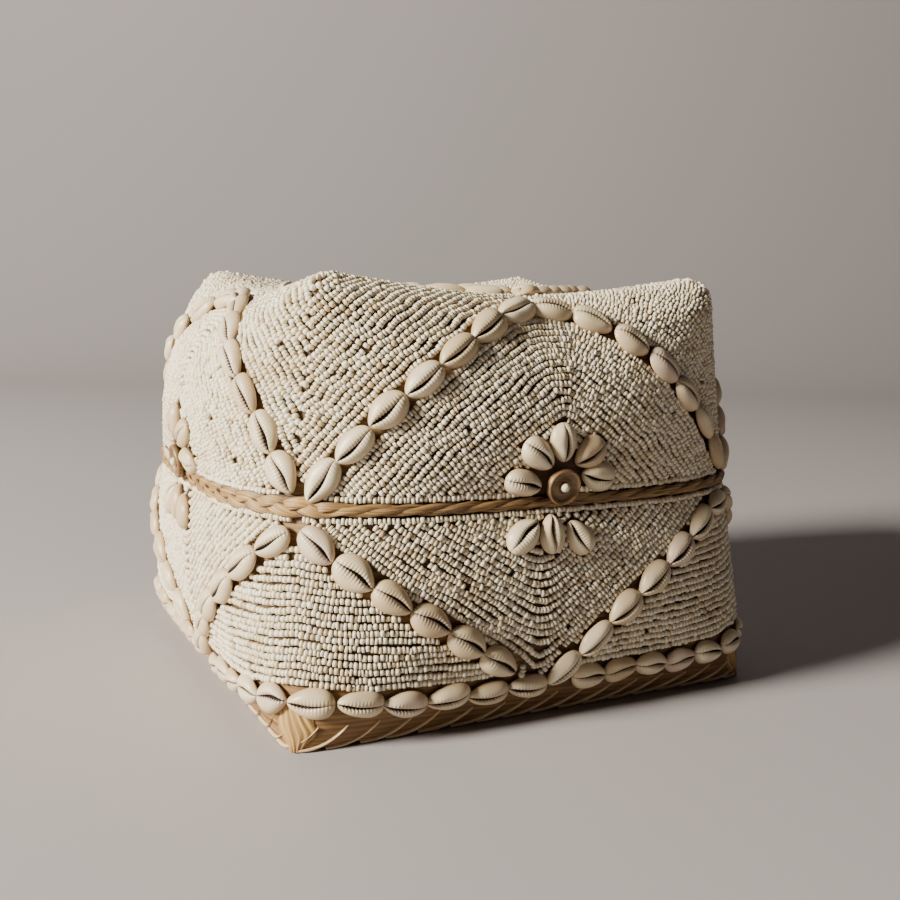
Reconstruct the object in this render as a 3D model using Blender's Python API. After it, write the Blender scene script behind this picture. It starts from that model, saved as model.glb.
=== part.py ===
# Lidded bamboo basket covered with rows of seed beads and strings of cowrie shells.
# Metres, +Z up. The basket stands on z = 0 and its front face looks towards -Y.
# A place on the basket is u and a height. u runs round it anticlockwise, seen from above:
# 0 is the middle of the front, 1 the front right corner, 2 the middle of the right side.
# s is the same across one face, from -1 at its left corner to 1 at its right corner.
# On the lid the height is v: 0 to 1 up the wall and 1 to 2 from the top edge to the centre.

import math

import bpy
import numpy as np

FACES = ("front", "right", "back", "left")
CORNERS = ("front_right", "back_right", "back_left", "front_left")

# Heights
JOINT_Z = 0.0887          # where the lid meets the base, just under the braid
BRAID_Z = 0.0914          # middle of the braid
EDGE_Z = 0.1693           # top edge of the lid in the middle of a side
PEAK_Z = 0.1803           # top edge of the lid at its raised corners
TOP_SAG = 0.0020          # how far the middle of the top lies under its edge
PEAK_FLARE = 1.5          # how suddenly the corners rise

# Half widths of the bamboo, each as the four handles of a curve from bottom to top.
# The base's run from the floor to the braid, the lid's from the braid to the top edge.
BASE_MIDDLE = (0.1062, 0.1216, 0.1206, 0.1147)
BASE_CORNER = (0.1042, 0.1023, 0.0983, 0.0943)
LID_MIDDLE = (0.1146, 0.1193, 0.1234, 0.0880)
LID_CORNER = (0.0946, 0.0912, 0.0878, 0.0868)
CORNER_ROUNDING = 0.986   # keeps the squarest outline's corners a little round
# The hand-made basket is a little wider than deep: X is stretched and Y shrunk by these.
FLOOR_STRETCH = 1.012
BRAID_STRETCH = 1.0365
TOP_STRETCH = 1.055
LID_LEAN = 0.0030         # the top has settled this far towards +X
SIT_X = -0.0007           # puts the middle of the whole over the origin
SHOULDER_DOWN = 0.13      # share of the lid's wall that the rounded top edge takes
SHOULDER_IN = 0.12        # share of the top's half width that it takes

# Thicknesses and gaps
GAP = 0.0003
WALL = 0.0020
FLOOR = 0.0028
FOOT_BEVEL = 0.0015
LIP_HEIGHT = 0.0080       # the base's inner band stands this far up inside the lid
LIP = 0.0016
LIP_INSET = 0.0037        # from the base's outer face in to the lip
BAND_DEPTH = 0.0070       # how far the thick band reaches down inside the base
BEAD_UNDER = 0.0006       # beadwork stands off the bamboo by this
BEAD_OVER = 0.0024        # and its outer face by this
BEADS_OVER_ROW = 0.0068   # from the middle of the bottom row of shells up to the beads
BEADS_UNDER_JOINT = 0.0006
BEADS_OVER_BRAID = 0.0034

# Columns and rows of the bamboo's facets
HALF_COLUMNS = (0.0, 0.36, 0.66, 0.87, 1.0)
BASE_LEVELS = (0.0350, 0.0600)
LID_LEVELS = (0.30, 0.60, 1 - SHOULDER_DOWN, 0.995, 1 + SHOULDER_IN, 1.50)

# Strings of cowries
SHELL_WIDTH = 0.0134
ROW_SHELL_WIDTH = 0.0124
SHELL_TOP = 0.0070        # from the bamboo out to the top of a shell
ROW_SHELL_TOP = 0.0062
SHELL_LIFT = 0.0031       # from the bamboo to a shell that lies on the beads
ROW_SHELL_LIFT = 0.0005   # to one that lies on the bamboo
GROOVE = 0.0016           # depth of a shell's slit
# Places across a face where a string starts, turns and ends. A pair has the count of shells
# up to there, and ARM_COUNTS and ROW_COUNTS give the others for each face and each corner.
LID_KNOTS = ((-0.966, 0), (-0.034, 7), (0.950, 14))
LEFT_ARM_ENDS = (-0.160, -0.530, -0.995)
RIGHT_ARM_ENDS = (-0.012, 0.945)
ARM_COUNTS = ((6, 7), (6, 7), (6, 7), (7, 6))
ROW_ENDS = (0.095, 0.972, 1.985)
ROW_COUNTS = ((6, 6), (6, 6), (6, 7), (5, 6))
TOP_KNOTS = ((0.055, 0), (1.945, 6))
LEFT_ARM_TIP = -0.09      # where the left arm of a base garland would reach its lowest point
RIGHT_ARM_TIP = -0.04
FACE_SHIFT = (0.0, 0.04, 0.02, 0.15)  # hand-sewn: each face's base garland sits a bit aside
# Each face's garland on the lid: its height in the middle, its slope, and how round it is
GARLANDS = ((0.1637, 0.0998, 0.281), (0.1640, 0.1020, 0.290),
            (0.1642, 0.1010, 0.280), (0.1652, 0.1173, 0.383))
ARM_TOP = 0.0816          # the arms stop climbing here, clear of the braid
DIAMOND = 0.885           # size of the shell diamond on the top: 1 reaches the edges

# Flowers and buttons in the middle of each face. A lid petal is the direction in which it
# lies from the button, and its own direction. A base petal is a step aside from the
# flower's middle in metres, a height and its own direction. Directions are in degrees.
BUTTON_U = 0.009
BUTTON_Z = 0.0978
BUTTON_RADIUS = 0.0074
BUTTON_THICKNESS = 0.0026
BUTTON_STANDOFF = 0.0042
BUTTON_BEAD = 0.0017
BUTTON_SIDES = 10
BEAD_SIDES = 6
LID_PETALS = ((9, -8), (47, 33), (92, 88), (133, 144), (172.5, 167))
LID_PETAL_RADIUS = 0.0170
BASE_FLOWER_U = -0.02
BASE_PETALS = ((-0.0129, 0.0777, 230), (-0.0006, 0.0778, 271), (0.0124, 0.0760, 299))
PETAL_LENGTH = 0.0172
PETAL_WIDTH = 0.0134
PETAL_LIFT = 0.0037       # from the bamboo to a petal, which clears the braid
FACE_WIDTH = 0.118        # about the half width of a face

# Braid over the joint
BRAID_HALF_HEIGHT = 0.0027
BRAID_UNDER = 0.0005
BRAID_OVER = 0.0034
# Its section: heights in half heights, with depths in shares of its thickness at the front
BRAID_FRONT = ((-1.0, 0.25), (-0.7, 0.85), (0.0, 1.0), (0.7, 0.85), (1.0, 0.25))
BRAID_BACK = (0.7, -0.7)


def curve(t, handles):
    a, b, c, d = handles
    u = 1 - t
    return a * u**3 + 3 * b * u * u * t + 3 * c * u * t * t + d * t**3


def between(low, high, share):
    return low + (high - low) * share


def face_of(u):
    """The number of the face that a place is on."""
    return math.floor((u + 1) / 2) % 4


def across_face(u):
    """s, the place across its own face."""
    return u - 2 * math.floor((u + 1) / 2)


def plan_point(u, middle, corner, stretch):
    """A rounded square through (middle, 0) and (corner, corner)."""
    s = across_face(u)
    power = math.log(2) / math.log(middle / min(corner, CORNER_ROUNDING * middle))
    pull = (1 + abs(s) ** power) ** (-1 / power)
    x, y = s * middle * pull, -middle * pull
    for _ in range(face_of(u)):
        x, y = -y, x
    return x * stretch + SIT_X, y / stretch


def base_surface(u, z):
    t = z / BRAID_Z
    stretch = between(FLOOR_STRETCH, BRAID_STRETCH, t)
    x, y = plan_point(u, curve(t, BASE_MIDDLE), curve(t, BASE_CORNER), stretch)
    return np.array((x, y, z))


def edge_height(u):
    return between(EDGE_Z, PEAK_Z, abs(across_face(u)) ** PEAK_FLARE)


def lid_share(z, u):
    """The lid's v at a height on its wall."""
    return (z - BRAID_Z) / (edge_height(u) - BRAID_Z)


def lid_wall(u, t):
    stretch = between(BRAID_STRETCH, TOP_STRETCH, t)
    x, y = plan_point(u, curve(t, LID_MIDDLE), curve(t, LID_CORNER), stretch)
    return np.array((x + LID_LEAN * t, y, between(BRAID_Z, edge_height(u), t)))


def lid_top(u, r):
    """The top, r from 1 at its edge to 0 at its centre. The diamond inside is nearly flat."""
    x, y, _ = lid_wall(u, 1.0)
    reach = r * (1 + abs(across_face(u)))
    height = EDGE_Z - TOP_SAG * (1 - min(1.0, reach) ** 2)
    height += (PEAK_Z - EDGE_Z) * max(0.0, reach - 1) ** PEAK_FLARE
    return np.array((between(SIT_X + LID_LEAN, x, r), y * r, height))


def lid_surface(u, v):
    if v <= 1 - SHOULDER_DOWN:
        return lid_wall(u, v)
    if v >= 1 + SHOULDER_IN:
        return lid_top(u, 2 - v)
    t = (v - 1 + SHOULDER_DOWN) / (SHOULDER_DOWN + SHOULDER_IN)
    start = lid_wall(u, 1 - SHOULDER_DOWN)
    end = lid_top(u, 1 - SHOULDER_IN)
    return (1 - t) ** 2 * start + 2 * t * (1 - t) * lid_wall(u, 1.0) + t**2 * end


def normal_at(surface, u, v):
    step_u = 0.002
    step_v = 0.0002 if surface is base_surface else 0.002
    around = surface(u + step_u, v) - surface(u - step_u, v)
    up = surface(u, v + step_v) - surface(u, v - step_v)
    normal = np.cross(around, up)
    return normal / np.linalg.norm(normal)


def place(surface, u, v, out):
    return surface(u, v) + out * normal_at(surface, u, v)


def material(name, colour, roughness):
    made = bpy.data.materials.new(name)
    made.use_nodes = True
    shader = made.node_tree.nodes["Principled BSDF"]
    shader.inputs["Base Color"].default_value = (*colour, 1)
    shader.inputs["Roughness"].default_value = roughness
    return made


def add_object(name, mesh, made_of, smooth_angle=35):
    mesh.shade_smooth()
    mesh.set_sharp_from_angle(angle=math.radians(smooth_angle))
    mesh.materials.clear()
    mesh.materials.append(made_of)
    added = bpy.data.objects.new(name, mesh)
    bpy.context.collection.objects.link(added)
    return added


def make_mesh(name, points, polygons):
    mesh = bpy.data.meshes.new(name)
    mesh.from_pydata([tuple(p) for p in points], [], polygons)
    return mesh


def band_polygons(pairs, count, turn):
    """Quads between rings. From the ring numbered turn on, the rings run back inside.

    Those quads start at their other corner, so that both sides fold along the same diagonals.
    """
    polygons = []
    for low, high in pairs:
        for k in range(count):
            n = (k + 1) % count
            quad = (low * count + k, low * count + n, high * count + n, high * count + k)
            polygons.append(quad if low < turn - 1 else quad[1:] + quad[:1])
    return polygons


def flatten(rings):
    return [point for ring in rings for point in ring]


def capped_mesh(name, outer, inner=()):
    """Joins rings of points and closes the first and the last with a flat cap each."""
    rings = outer + list(inner)
    count, points = len(rings[0]), flatten(rings)
    polygons = band_polygons([(k, k + 1) for k in range(len(rings) - 1)], count, len(outer))
    polygons.append(tuple(reversed(range(count))))
    polygons.append(tuple(range(len(points) - count, len(points))))
    return make_mesh(name, points, polygons)


def loop_mesh(name, outer, inner):
    """Joins an outer and an inner run of rings into a closed hoop."""
    rings = outer + inner
    pairs = [(k, (k + 1) % len(rings)) for k in range(len(rings))]
    return make_mesh(name, flatten(rings), band_polygons(pairs, len(rings[0]), len(outer)))


def dome_mesh(name, outer, inner, outer_tip, inner_tip):
    """Joins an outer and an inner run of rings into a dome that ends in a tip each."""
    count, top = len(outer[0]), len(outer) - 1
    rings = outer + inner
    points = flatten(rings) + [outer_tip, inner_tip]
    pairs = [(k, (k + 1) % len(rings)) for k in range(len(rings)) if k != top]
    polygons = band_polygons(pairs, count, len(outer))
    for k in range(count):
        n = (k + 1) % count
        polygons.append((top * count + k, top * count + n, len(points) - 2))
        polygons.append(((top + 1) * count + n, (top + 1) * count + k, len(points) - 1))
    return make_mesh(name, points, polygons)


def bamboo_columns(start=-1.0, end=7.0):
    """The bamboo's columns from u = start up to u = end, which is left out."""
    steps = sorted({side * s for s in HALF_COLUMNS for side in (-1, 1)} - {1.0})
    columns = [2 * face + s for face in range(-1, 5) for s in steps]
    return [u for u in columns if start <= u < end - 1e-9]


def base_ring(z, out, level=False, lift=0.0):
    """A ring of the base. A level one keeps its height when it is moved out or in."""
    ring = [place(base_surface, u, z, out) for u in bamboo_columns()]
    for point in ring:
        point[2] = (z if level else point[2]) + lift
    return ring


def row_height(u):
    """The bottom row of shells hangs a little in the middle of each face."""
    return 0.0160 + 0.0042 * across_face(u) ** 2


def base_beads_edge(out):
    """The line where the base's beadwork begins, above the bottom row of shells."""
    return [place(base_surface, u, row_height(u) + BEADS_OVER_ROW, out)
            for u in bamboo_columns()]


def build_base(bamboo):
    rim = JOINT_Z - GAP
    outer = [base_ring(0.0, -FOOT_BEVEL, level=True), base_ring(FOOT_BEVEL, 0.0, level=True)]
    outer += [base_beads_edge(0.0)] + [base_ring(z, 0.0) for z in BASE_LEVELS]
    outer.append(base_ring(rim, 0.0, level=True))
    inner = [base_ring(rim, -LIP_INSET, level=True)]
    inner.append(base_ring(rim, -LIP_INSET, level=True, lift=LIP_HEIGHT))
    inner.append(base_ring(rim, -LIP_INSET - LIP, level=True, lift=LIP_HEIGHT))
    inner.append(base_ring(rim - BAND_DEPTH, -LIP_INSET - LIP, level=True))
    inner += [base_ring(z, -WALL) for z in reversed(BASE_LEVELS)]
    inner += [base_beads_edge(-WALL), base_ring(FLOOR, -WALL, level=True)]
    add_object("base_basket", capped_mesh("base_basket", outer, inner), bamboo)


def lid_ring(v, out):
    return [place(lid_surface, u, v, out) for u in bamboo_columns()]


def joint_ring(out):
    """The lid's lower edge, level all round."""
    ring = [place(lid_surface, u, lid_share(JOINT_Z, u), out) for u in bamboo_columns()]
    for point in ring:
        point[2] = JOINT_Z + GAP
    return ring


def build_lid(bamboo):
    outer = [joint_ring(0.0)] + [lid_ring(v, 0.0) for v in LID_LEVELS]
    inner = [lid_ring(v, -WALL) for v in reversed(LID_LEVELS)] + [joint_ring(-WALL)]
    centre = lid_surface(0, 2.0)
    mesh = dome_mesh("lid", outer, inner, centre, centre - (0, 0, WALL))
    add_object("lid", mesh, bamboo)


def braid_ring(height, depth):
    out = between(BRAID_UNDER, BRAID_OVER, depth)
    lift = (0, 0, height * BRAID_HALF_HEIGHT)
    return [place(lid_surface, u, 0.0, out) + lift for u in bamboo_columns()]


def build_braid(straw):
    """The plait, one closed hoop around the lid's lower edge."""
    outer = [braid_ring(height, depth) for height, depth in BRAID_FRONT]
    inner = [braid_ring(height, 0.0) for height in BRAID_BACK]
    add_object("rim_braid", loop_mesh("rim_braid", outer, inner), straw)


def garland_height(u):
    """The lid's shells climb from the corners to the middle of each face's top edge."""
    middle, slope, roundness = GARLANDS[face_of(u)]
    bend = (abs(across_face(u)) ** 3 + roundness**3) ** (1 / 3) - roundness
    return middle - slope * bend


def face_shift(u):
    return FACE_SHIFT[face_of(u)]


def left_arm(u):
    """The left half of a base garland, which climbs from near the floor to the corner."""
    along = max(0.0, LEFT_ARM_TIP + face_shift(u) - across_face(u))
    return min(ARM_TOP, 0.0180 + 0.0882 * along - 0.0179 * along**2)


def right_arm(u):
    along = max(0.0, across_face(u) - RIGHT_ARM_TIP - face_shift(u))
    return min(ARM_TOP, 0.0130 + 0.1126 * along - 0.0345 * along**2)


def diamond_share(u):
    return 2 - DIAMOND / (1 + abs(across_face(u)))


def garland_share(u):
    return lid_share(garland_height(u), u)


def build_beadwork(beads):
    """The beads, sewn on in rows side by side: one skin around the base and one over the lid."""
    rim = JOINT_Z - BEADS_UNDER_JOINT
    levels = BASE_LEVELS + (rim,)
    outer = [base_beads_edge(BEAD_OVER)] + [base_ring(z, BEAD_OVER) for z in levels]
    inner = [base_ring(z, BEAD_UNDER) for z in reversed(levels)] + [base_beads_edge(BEAD_UNDER)]
    add_object("base_beadwork", loop_mesh("base_beadwork", outer, inner), beads)

    def lower_edge(out):
        z = BRAID_Z + BEADS_OVER_BRAID
        return [place(lid_surface, u, lid_share(z, u), out) for u in bamboo_columns()]

    outer = [lower_edge(BEAD_OVER)] + [lid_ring(v, BEAD_OVER) for v in LID_LEVELS]
    inner = [lid_ring(v, BEAD_UNDER) for v in reversed(LID_LEVELS)] + [lower_edge(BEAD_UNDER)]
    centre = lid_surface(0, 2.0)
    mesh = dome_mesh("lid_beadwork", outer, inner, centre + (0, 0, BEAD_OVER),
                     centre + (0, 0, BEAD_UNDER))
    add_object("lid_beadwork", mesh, beads)


def frames_along(surface, height_of, knots):
    """Point, outward normal and side direction at each shell's tip, 30% and 70%."""
    first, last = knots[0][0], knots[-1][0]
    spots = np.linspace(first, last, 161)
    points = np.array([surface(u, height_of(u)) for u in spots])
    run = np.concatenate(([0.0], np.cumsum(np.linalg.norm(np.diff(points, axis=0), axis=1))))
    shares = [(u - first) / (last - first) for u, _ in knots]
    knot_runs = np.interp(shares, np.linspace(0, 1, len(spots)), run)
    counts = [count for _, count in knots]
    frames = []
    for position in sorted([k + part for k in range(counts[-1]) for part in (0.0, 0.3, 0.7)]
                           + [counts[-1]]):
        u = between(first, last, float(np.interp(np.interp(position, counts, knot_runs), run,
                                                 np.linspace(0, 1, len(spots)))))
        step = 0.004 if last > first else -0.004
        point, normal = surface(u, height_of(u)), normal_at(surface, u, height_of(u))
        ahead = surface(u + step, height_of(u + step)) - surface(u - step, height_of(u - step))
        side = np.cross(normal, ahead)
        frames.append((point, normal, side / np.linalg.norm(side)))
    return frames


def shell_section(frame, width, lift, top, at_tip):
    """Five points round a shell's body, or three at the tip where two shells touch."""
    point, normal, side = frame
    height = top - lift
    if at_tip:
        corners = ((-0.14, 0.10), (0.0, 0.45), (0.14, 0.10))
    else:
        slit = 1 - GROOVE / height
        corners = ((-0.5, 0.0), (-0.28, 1.0), (0.0, slit), (0.28, 1.0), (0.5, 0.0))
    return [point + side * width * a + normal * (lift + height * b) for a, b in corners]


def tip_polygons(tip, body):
    """Joins a tip's three points to a body's five."""
    return [(tip, body, body + 1), (tip, body + 1, tip + 1), (tip + 1, body + 1, body + 2),
            (tip + 1, body + 2, body + 3), (tip + 1, body + 3, tip + 2),
            (tip + 2, body + 3, body + 4), (tip + 2, body + 4, body, tip)]


def shell_mesh(name, frames, width, lift=SHELL_LIFT, top=SHELL_TOP):
    """Shells end to end: every third frame is a tip, the two between are the body's ends."""
    points, polygons, starts = [], [], []
    for k, frame in enumerate(frames):
        starts.append(len(points))
        points += shell_section(frame, width, lift, top, at_tip=k % 3 == 0)
    for k, (a, b) in enumerate(zip(starts, starts[1:])):
        if k % 3 == 0:
            polygons += tip_polygons(a, b)
        elif k % 3 == 2:
            polygons += [tuple(reversed(polygon)) for polygon in tip_polygons(b, a)]
        else:
            polygons += [(a + n, b + n, b + (n + 1) % 5, a + (n + 1) % 5) for n in range(5)]
    polygons.append((0, 1, 2))
    polygons.append((len(points) - 1, len(points) - 2, len(points) - 3))
    return make_mesh(name, points, polygons)


def shell_string(name, surface, height_of, knots, cowrie):
    mesh = shell_mesh(name, frames_along(surface, height_of, knots), SHELL_WIDTH)
    add_object(name, mesh, cowrie, smooth_angle=50)


def moved(knots, distance):
    return [(u + distance, count) for u, count in knots]


def arm_knots(face):
    """The ends of the two arms of a face's base garland, with their counts of shells."""
    shift = FACE_SHIFT[face]
    left_count, right_count = ARM_COUNTS[face]
    low, turn, top = LEFT_ARM_ENDS
    left = ((low + shift, 0), (turn + shift / 2, left_count / 2), (top, left_count))
    right = ((RIGHT_ARM_ENDS[0] + shift, 0), (RIGHT_ARM_ENDS[1], right_count))
    return left, right


def row_knots(corner):
    """The same for the bottom row around a corner."""
    before, after = ROW_COUNTS[corner]
    start, turn, end = ROW_ENDS
    return ((start + FACE_SHIFT[corner], 0), (turn, before),
            (end + FACE_SHIFT[(corner + 1) % 4], before + after))


def build_shell_strings(cowrie):
    for face, name in enumerate(FACES):
        middle = 2 * face
        left, right = arm_knots(face)
        shell_string(f"lid_shells_{name}", lid_surface, garland_share,
                     moved(LID_KNOTS, middle), cowrie)
        shell_string(f"base_shells_{name}_left", base_surface, left_arm,
                     moved(left, middle), cowrie)
        shell_string(f"base_shells_{name}_right", base_surface, right_arm,
                     moved(right, middle), cowrie)
    for face, name in enumerate(CORNERS):
        frames = frames_along(base_surface, row_height, moved(row_knots(face), 2 * face))
        mesh = shell_mesh(f"bottom_shells_{name}", frames, ROW_SHELL_WIDTH, ROW_SHELL_LIFT,
                          ROW_SHELL_TOP)
        add_object(mesh.name, mesh, cowrie, smooth_angle=50)
        shell_string(f"top_shells_{name}", lid_surface, diamond_share,
                     moved(TOP_KNOTS, 2 * face), cowrie)


def wall_frame(surface, u, v):
    """Point, normal, across and up directions of the wall at a place."""
    point, normal = surface(u, v), normal_at(surface, u, v)
    across = np.cross((0.0, 0.0, 1.0), normal)
    across = across / np.linalg.norm(across)
    return point, normal, across, np.cross(normal, across)


def petal(surface, u, v, degrees):
    """One shell of a flower, its fine end towards the button."""
    turn = math.radians(degrees)
    point, normal, across, up = wall_frame(surface, u, v)
    along = across * math.cos(turn) + up * math.sin(turn)
    side = np.cross(normal, along)
    frames = [(point + along * PETAL_LENGTH * part, normal, side)
              for part in (-0.5, -0.2, 0.2, 0.5)]
    return shell_mesh("petal", frames, PETAL_WIDTH, PETAL_LIFT)


def fuse(name, meshes, cowrie):
    """Joins touching shells into one body."""
    parts = [add_object(name, mesh, cowrie) for mesh in meshes]
    for other in parts[1:]:
        union = parts[0].modifiers.new("touching shell", "BOOLEAN")
        union.operation = "UNION"
        union.object = other
    view = bpy.context.evaluated_depsgraph_get()
    mesh = bpy.data.meshes.new_from_object(parts[0].evaluated_get(view))
    for part in parts:
        bpy.data.objects.remove(part)
    add_object(name, mesh, cowrie, smooth_angle=50)


def build_flowers(cowrie):
    for face, name in enumerate(FACES):
        lid_petals = []
        for place_degrees, degrees in LID_PETALS:
            turn = math.radians(place_degrees)
            u = 2 * face + BUTTON_U + LID_PETAL_RADIUS * math.cos(turn) / FACE_WIDTH
            z = BUTTON_Z + LID_PETAL_RADIUS * math.sin(turn)
            lid_petals.append(petal(lid_surface, u, lid_share(z, u), degrees))
        fuse(f"lid_flower_{name}", lid_petals, cowrie)
        base_petals = []
        for aside, z, degrees in BASE_PETALS:
            u = 2 * face + BASE_FLOWER_U + aside / FACE_WIDTH
            base_petals.append(petal(base_surface, u, z, degrees))
        fuse(f"base_flower_{name}", base_petals, cowrie)


def round_piece(name, frame, profile, sides, made_of):
    """A round piece that stands out from the wall, from pairs of radius and height."""
    point, normal, across, up = frame
    rings = []
    for radius, height in profile:
        turns = [2 * math.pi * k / sides for k in range(sides)]
        rings.append([point + normal * height
                      + (across * math.cos(turn) + up * math.sin(turn)) * radius
                      for turn in turns])
    add_object(name, capped_mesh(name, rings), made_of)


def build_buttons(wood, beads):
    back, front = BUTTON_STANDOFF, BUTTON_STANDOFF + BUTTON_THICKNESS
    disc = ((BUTTON_RADIUS, back), (BUTTON_RADIUS, front - 0.0008), (BUTTON_RADIUS * 0.9, front))
    low = front + GAP
    bead = ((BUTTON_BEAD * 0.7, low), (BUTTON_BEAD, low + BUTTON_BEAD * 0.6),
            (BUTTON_BEAD * 0.7, low + BUTTON_BEAD * 1.2))
    for face, name in enumerate(FACES):
        u = 2 * face + BUTTON_U
        frame = wall_frame(lid_surface, u, lid_share(BUTTON_Z, u))
        round_piece(f"button_{name}", frame, disc, BUTTON_SIDES, wood)
        round_piece(f"button_bead_{name}", frame, bead, BEAD_SIDES, beads)


def main():
    for existing in list(bpy.data.objects):
        bpy.data.objects.remove(existing)
    bamboo = material("bamboo", (0.42, 0.27, 0.13), 0.55)
    straw = material("plaited_straw", (0.62, 0.42, 0.20), 0.6)
    beads = material("ivory_beads", (0.80, 0.75, 0.64), 0.4)
    cowrie = material("cowrie", (0.86, 0.80, 0.70), 0.3)
    wood = material("button_wood", (0.36, 0.22, 0.12), 0.45)
    build_base(bamboo)
    build_lid(bamboo)
    build_braid(straw)
    build_beadwork(beads)
    build_shell_strings(cowrie)
    build_flowers(cowrie)
    build_buttons(wood, beads)


main()
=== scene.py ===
# Looks of the lidded shell basket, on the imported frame: rows of seed beads, cowries, the
# plait, the bamboo, the buttons, and a plain studio. Metres, +Z up.
# A place on the basket is u and a height, as in the part's source. u runs round it
# anticlockwise from above: 0 is the middle of the front, 1 the front right corner.
# s is the same across one face, from -1 to 1. On the lid the height is v: 0 to 1 up the wall
# and 1 to 2 from the top edge to the centre.
import math

import bpy
import numpy as np
from mathutils import Matrix


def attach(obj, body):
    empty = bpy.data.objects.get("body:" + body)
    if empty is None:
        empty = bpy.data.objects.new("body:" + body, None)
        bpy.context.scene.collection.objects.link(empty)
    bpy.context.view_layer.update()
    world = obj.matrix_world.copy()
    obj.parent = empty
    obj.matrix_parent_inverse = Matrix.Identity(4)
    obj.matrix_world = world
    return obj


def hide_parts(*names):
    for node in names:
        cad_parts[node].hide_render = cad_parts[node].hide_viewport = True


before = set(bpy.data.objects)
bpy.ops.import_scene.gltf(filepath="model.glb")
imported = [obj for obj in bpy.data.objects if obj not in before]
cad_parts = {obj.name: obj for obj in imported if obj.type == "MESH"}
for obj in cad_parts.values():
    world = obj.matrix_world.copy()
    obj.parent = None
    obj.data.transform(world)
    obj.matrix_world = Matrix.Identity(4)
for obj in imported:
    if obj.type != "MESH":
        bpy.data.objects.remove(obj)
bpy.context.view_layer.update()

RNG = np.random.default_rng(11)
UP = np.array((0.0, 0.0, 1.0))
FACES = ("front", "right", "back", "left")
CORNERS = ("front_right", "back_right", "back_left", "front_left")

# The basket's surface, with the values of the part's source
JOINT_Z = 0.0887
BRAID_Z = 0.0914
EDGE_Z = 0.1693
PEAK_Z = 0.1803
TOP_SAG = 0.0020
PEAK_FLARE = 1.5
BASE_MIDDLE = (0.1062, 0.1216, 0.1206, 0.1147)
BASE_CORNER = (0.1042, 0.1023, 0.0983, 0.0943)
LID_MIDDLE = (0.1146, 0.1193, 0.1234, 0.0880)
LID_CORNER = (0.0946, 0.0912, 0.0878, 0.0868)
CORNER_ROUNDING = 0.986
FLOOR_STRETCH = 1.012
BRAID_STRETCH = 1.0365
TOP_STRETCH = 1.055
LID_LEAN = 0.0030
SIT_X = -0.0007
SHOULDER_DOWN = 0.13
SHOULDER_IN = 0.12
GAP = 0.0003
WALL = 0.0020
FLOOR = 0.0028
FOOT_BEVEL = 0.0015
LIP_HEIGHT = 0.0080
LIP = 0.0016
LIP_INSET = 0.0037
BAND_DEPTH = 0.0070
BEADS_OVER_ROW = 0.0068
BEADS_UNDER_JOINT = 0.0006
BEADS_OVER_BRAID = 0.0022  # over the rope
BEADS_OVER_PLAIT = 0.0031  # over the flat plait

# Strings of cowries, as in the part's source
SHELL_TOP = 0.0070
ROW_SHELL_TOP = 0.0062
LID_KNOTS = ((-0.966, 0), (-0.034, 7), (0.950, 14))
LEFT_ARM_ENDS = (-0.160, -0.530, -0.995)
RIGHT_ARM_ENDS = (-0.012, 0.945)
ARM_COUNTS = ((6, 7), (6, 7), (6, 7), (7, 6))
ROW_ENDS = (0.095, 0.972, 1.985)
ROW_COUNTS = ((6, 6), (6, 6), (6, 7), (5, 6))
TOP_KNOTS = ((0.055, 0), (1.945, 6))
LEFT_ARM_TIP = -0.09
RIGHT_ARM_TIP = -0.04
FACE_SHIFT = np.array((0.0, 0.04, 0.02, 0.15))
GARLANDS = np.array(((0.1637, 0.0998, 0.281), (0.1640, 0.1020, 0.290),
                     (0.1642, 0.1010, 0.280), (0.1652, 0.1173, 0.383)))
ROW_MIDDLE = 0.0160
ROW_RISE = 0.0042
ARM_TOP = 0.0816
LEFT_ARM_SHAPE = (0.0180, 0.0882, 0.0179)   # lowest height, slope, and how it flattens
RIGHT_ARM_SHAPE = (0.0130, 0.1126, 0.0345)
DIAMOND = 0.885

# Flowers and buttons, as in the part's source
BUTTON_U = 0.009
BUTTON_Z = 0.0978
BUTTON_RADIUS = 0.0075
BUTTON_THICKNESS = 0.0026
BUTTON_STANDOFF = 0.0042
BUTTON_BEAD = 0.00185
LID_PETALS = ((9, -8), (47, 33), (92, 88), (133, 144), (172.5, 167))
LID_PETAL_RADIUS = 0.0170
BASE_FLOWER_U = -0.02
BASE_PETALS = ((-0.0129, 0.0777, 230), (-0.0006, 0.0778, 271), (0.0124, 0.0760, 299))
PETAL_LENGTH = 0.0172
FACE_WIDTH = 0.118

# Seed beads
ROW_PITCH = 0.0029        # on the corners
FACE_ROW_PITCH = 0.00272
BEAD_RADIUS = 0.00134
BEAD_LENGTH = 0.00180
BEAD_SEAT = 0.0014        # from the bamboo to a bead's thread
BEAD_BODY = 0.64          # share of a bead's half length that has its full radius
BEAD_ANGLES = np.radians((0, 52, 104, 180, 256, 308))  # six edges, farther apart underneath
BEAD_LENGTHS = (0.62, 1.5)     # smallest and largest share of the usual length
BEAD_RADII = (0.75, 1.15)
BEAD_LENGTH_VARIES = 0.20
BEAD_RADIUS_VARIES = 0.08
BEAD_TILT = 0.09
BEAD_TURN = 0.11
BEAD_SHIFT = 0.00016
BEAD_REACH = 0.0015       # a bead's direction is its row's, over this length on both sides
BEAD_FILLS = (0.98, 1.08)      # smallest and largest share of its place that a bead fills
ROW_STARTS_LATE = 0.3     # at most, as a share of a bead's length
FIRST_LEVEL_ROW = 0.0002
FIRST_ROW = 0.0059        # from the middle of a shell string to the first row beside it
V_ROWS_NEARER = 0.0012    # the rows over the base's V start nearer by this
UNDER_STRING = 0.0011     # beads nearer than the first row by more than this are left out
ROW_CLEAR = 0.0012        # from the rows along the joint to the ends of the others
COWRIE_WIDTH = 0.0125     # the cowries themselves, a little slimmer than their solids
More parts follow.
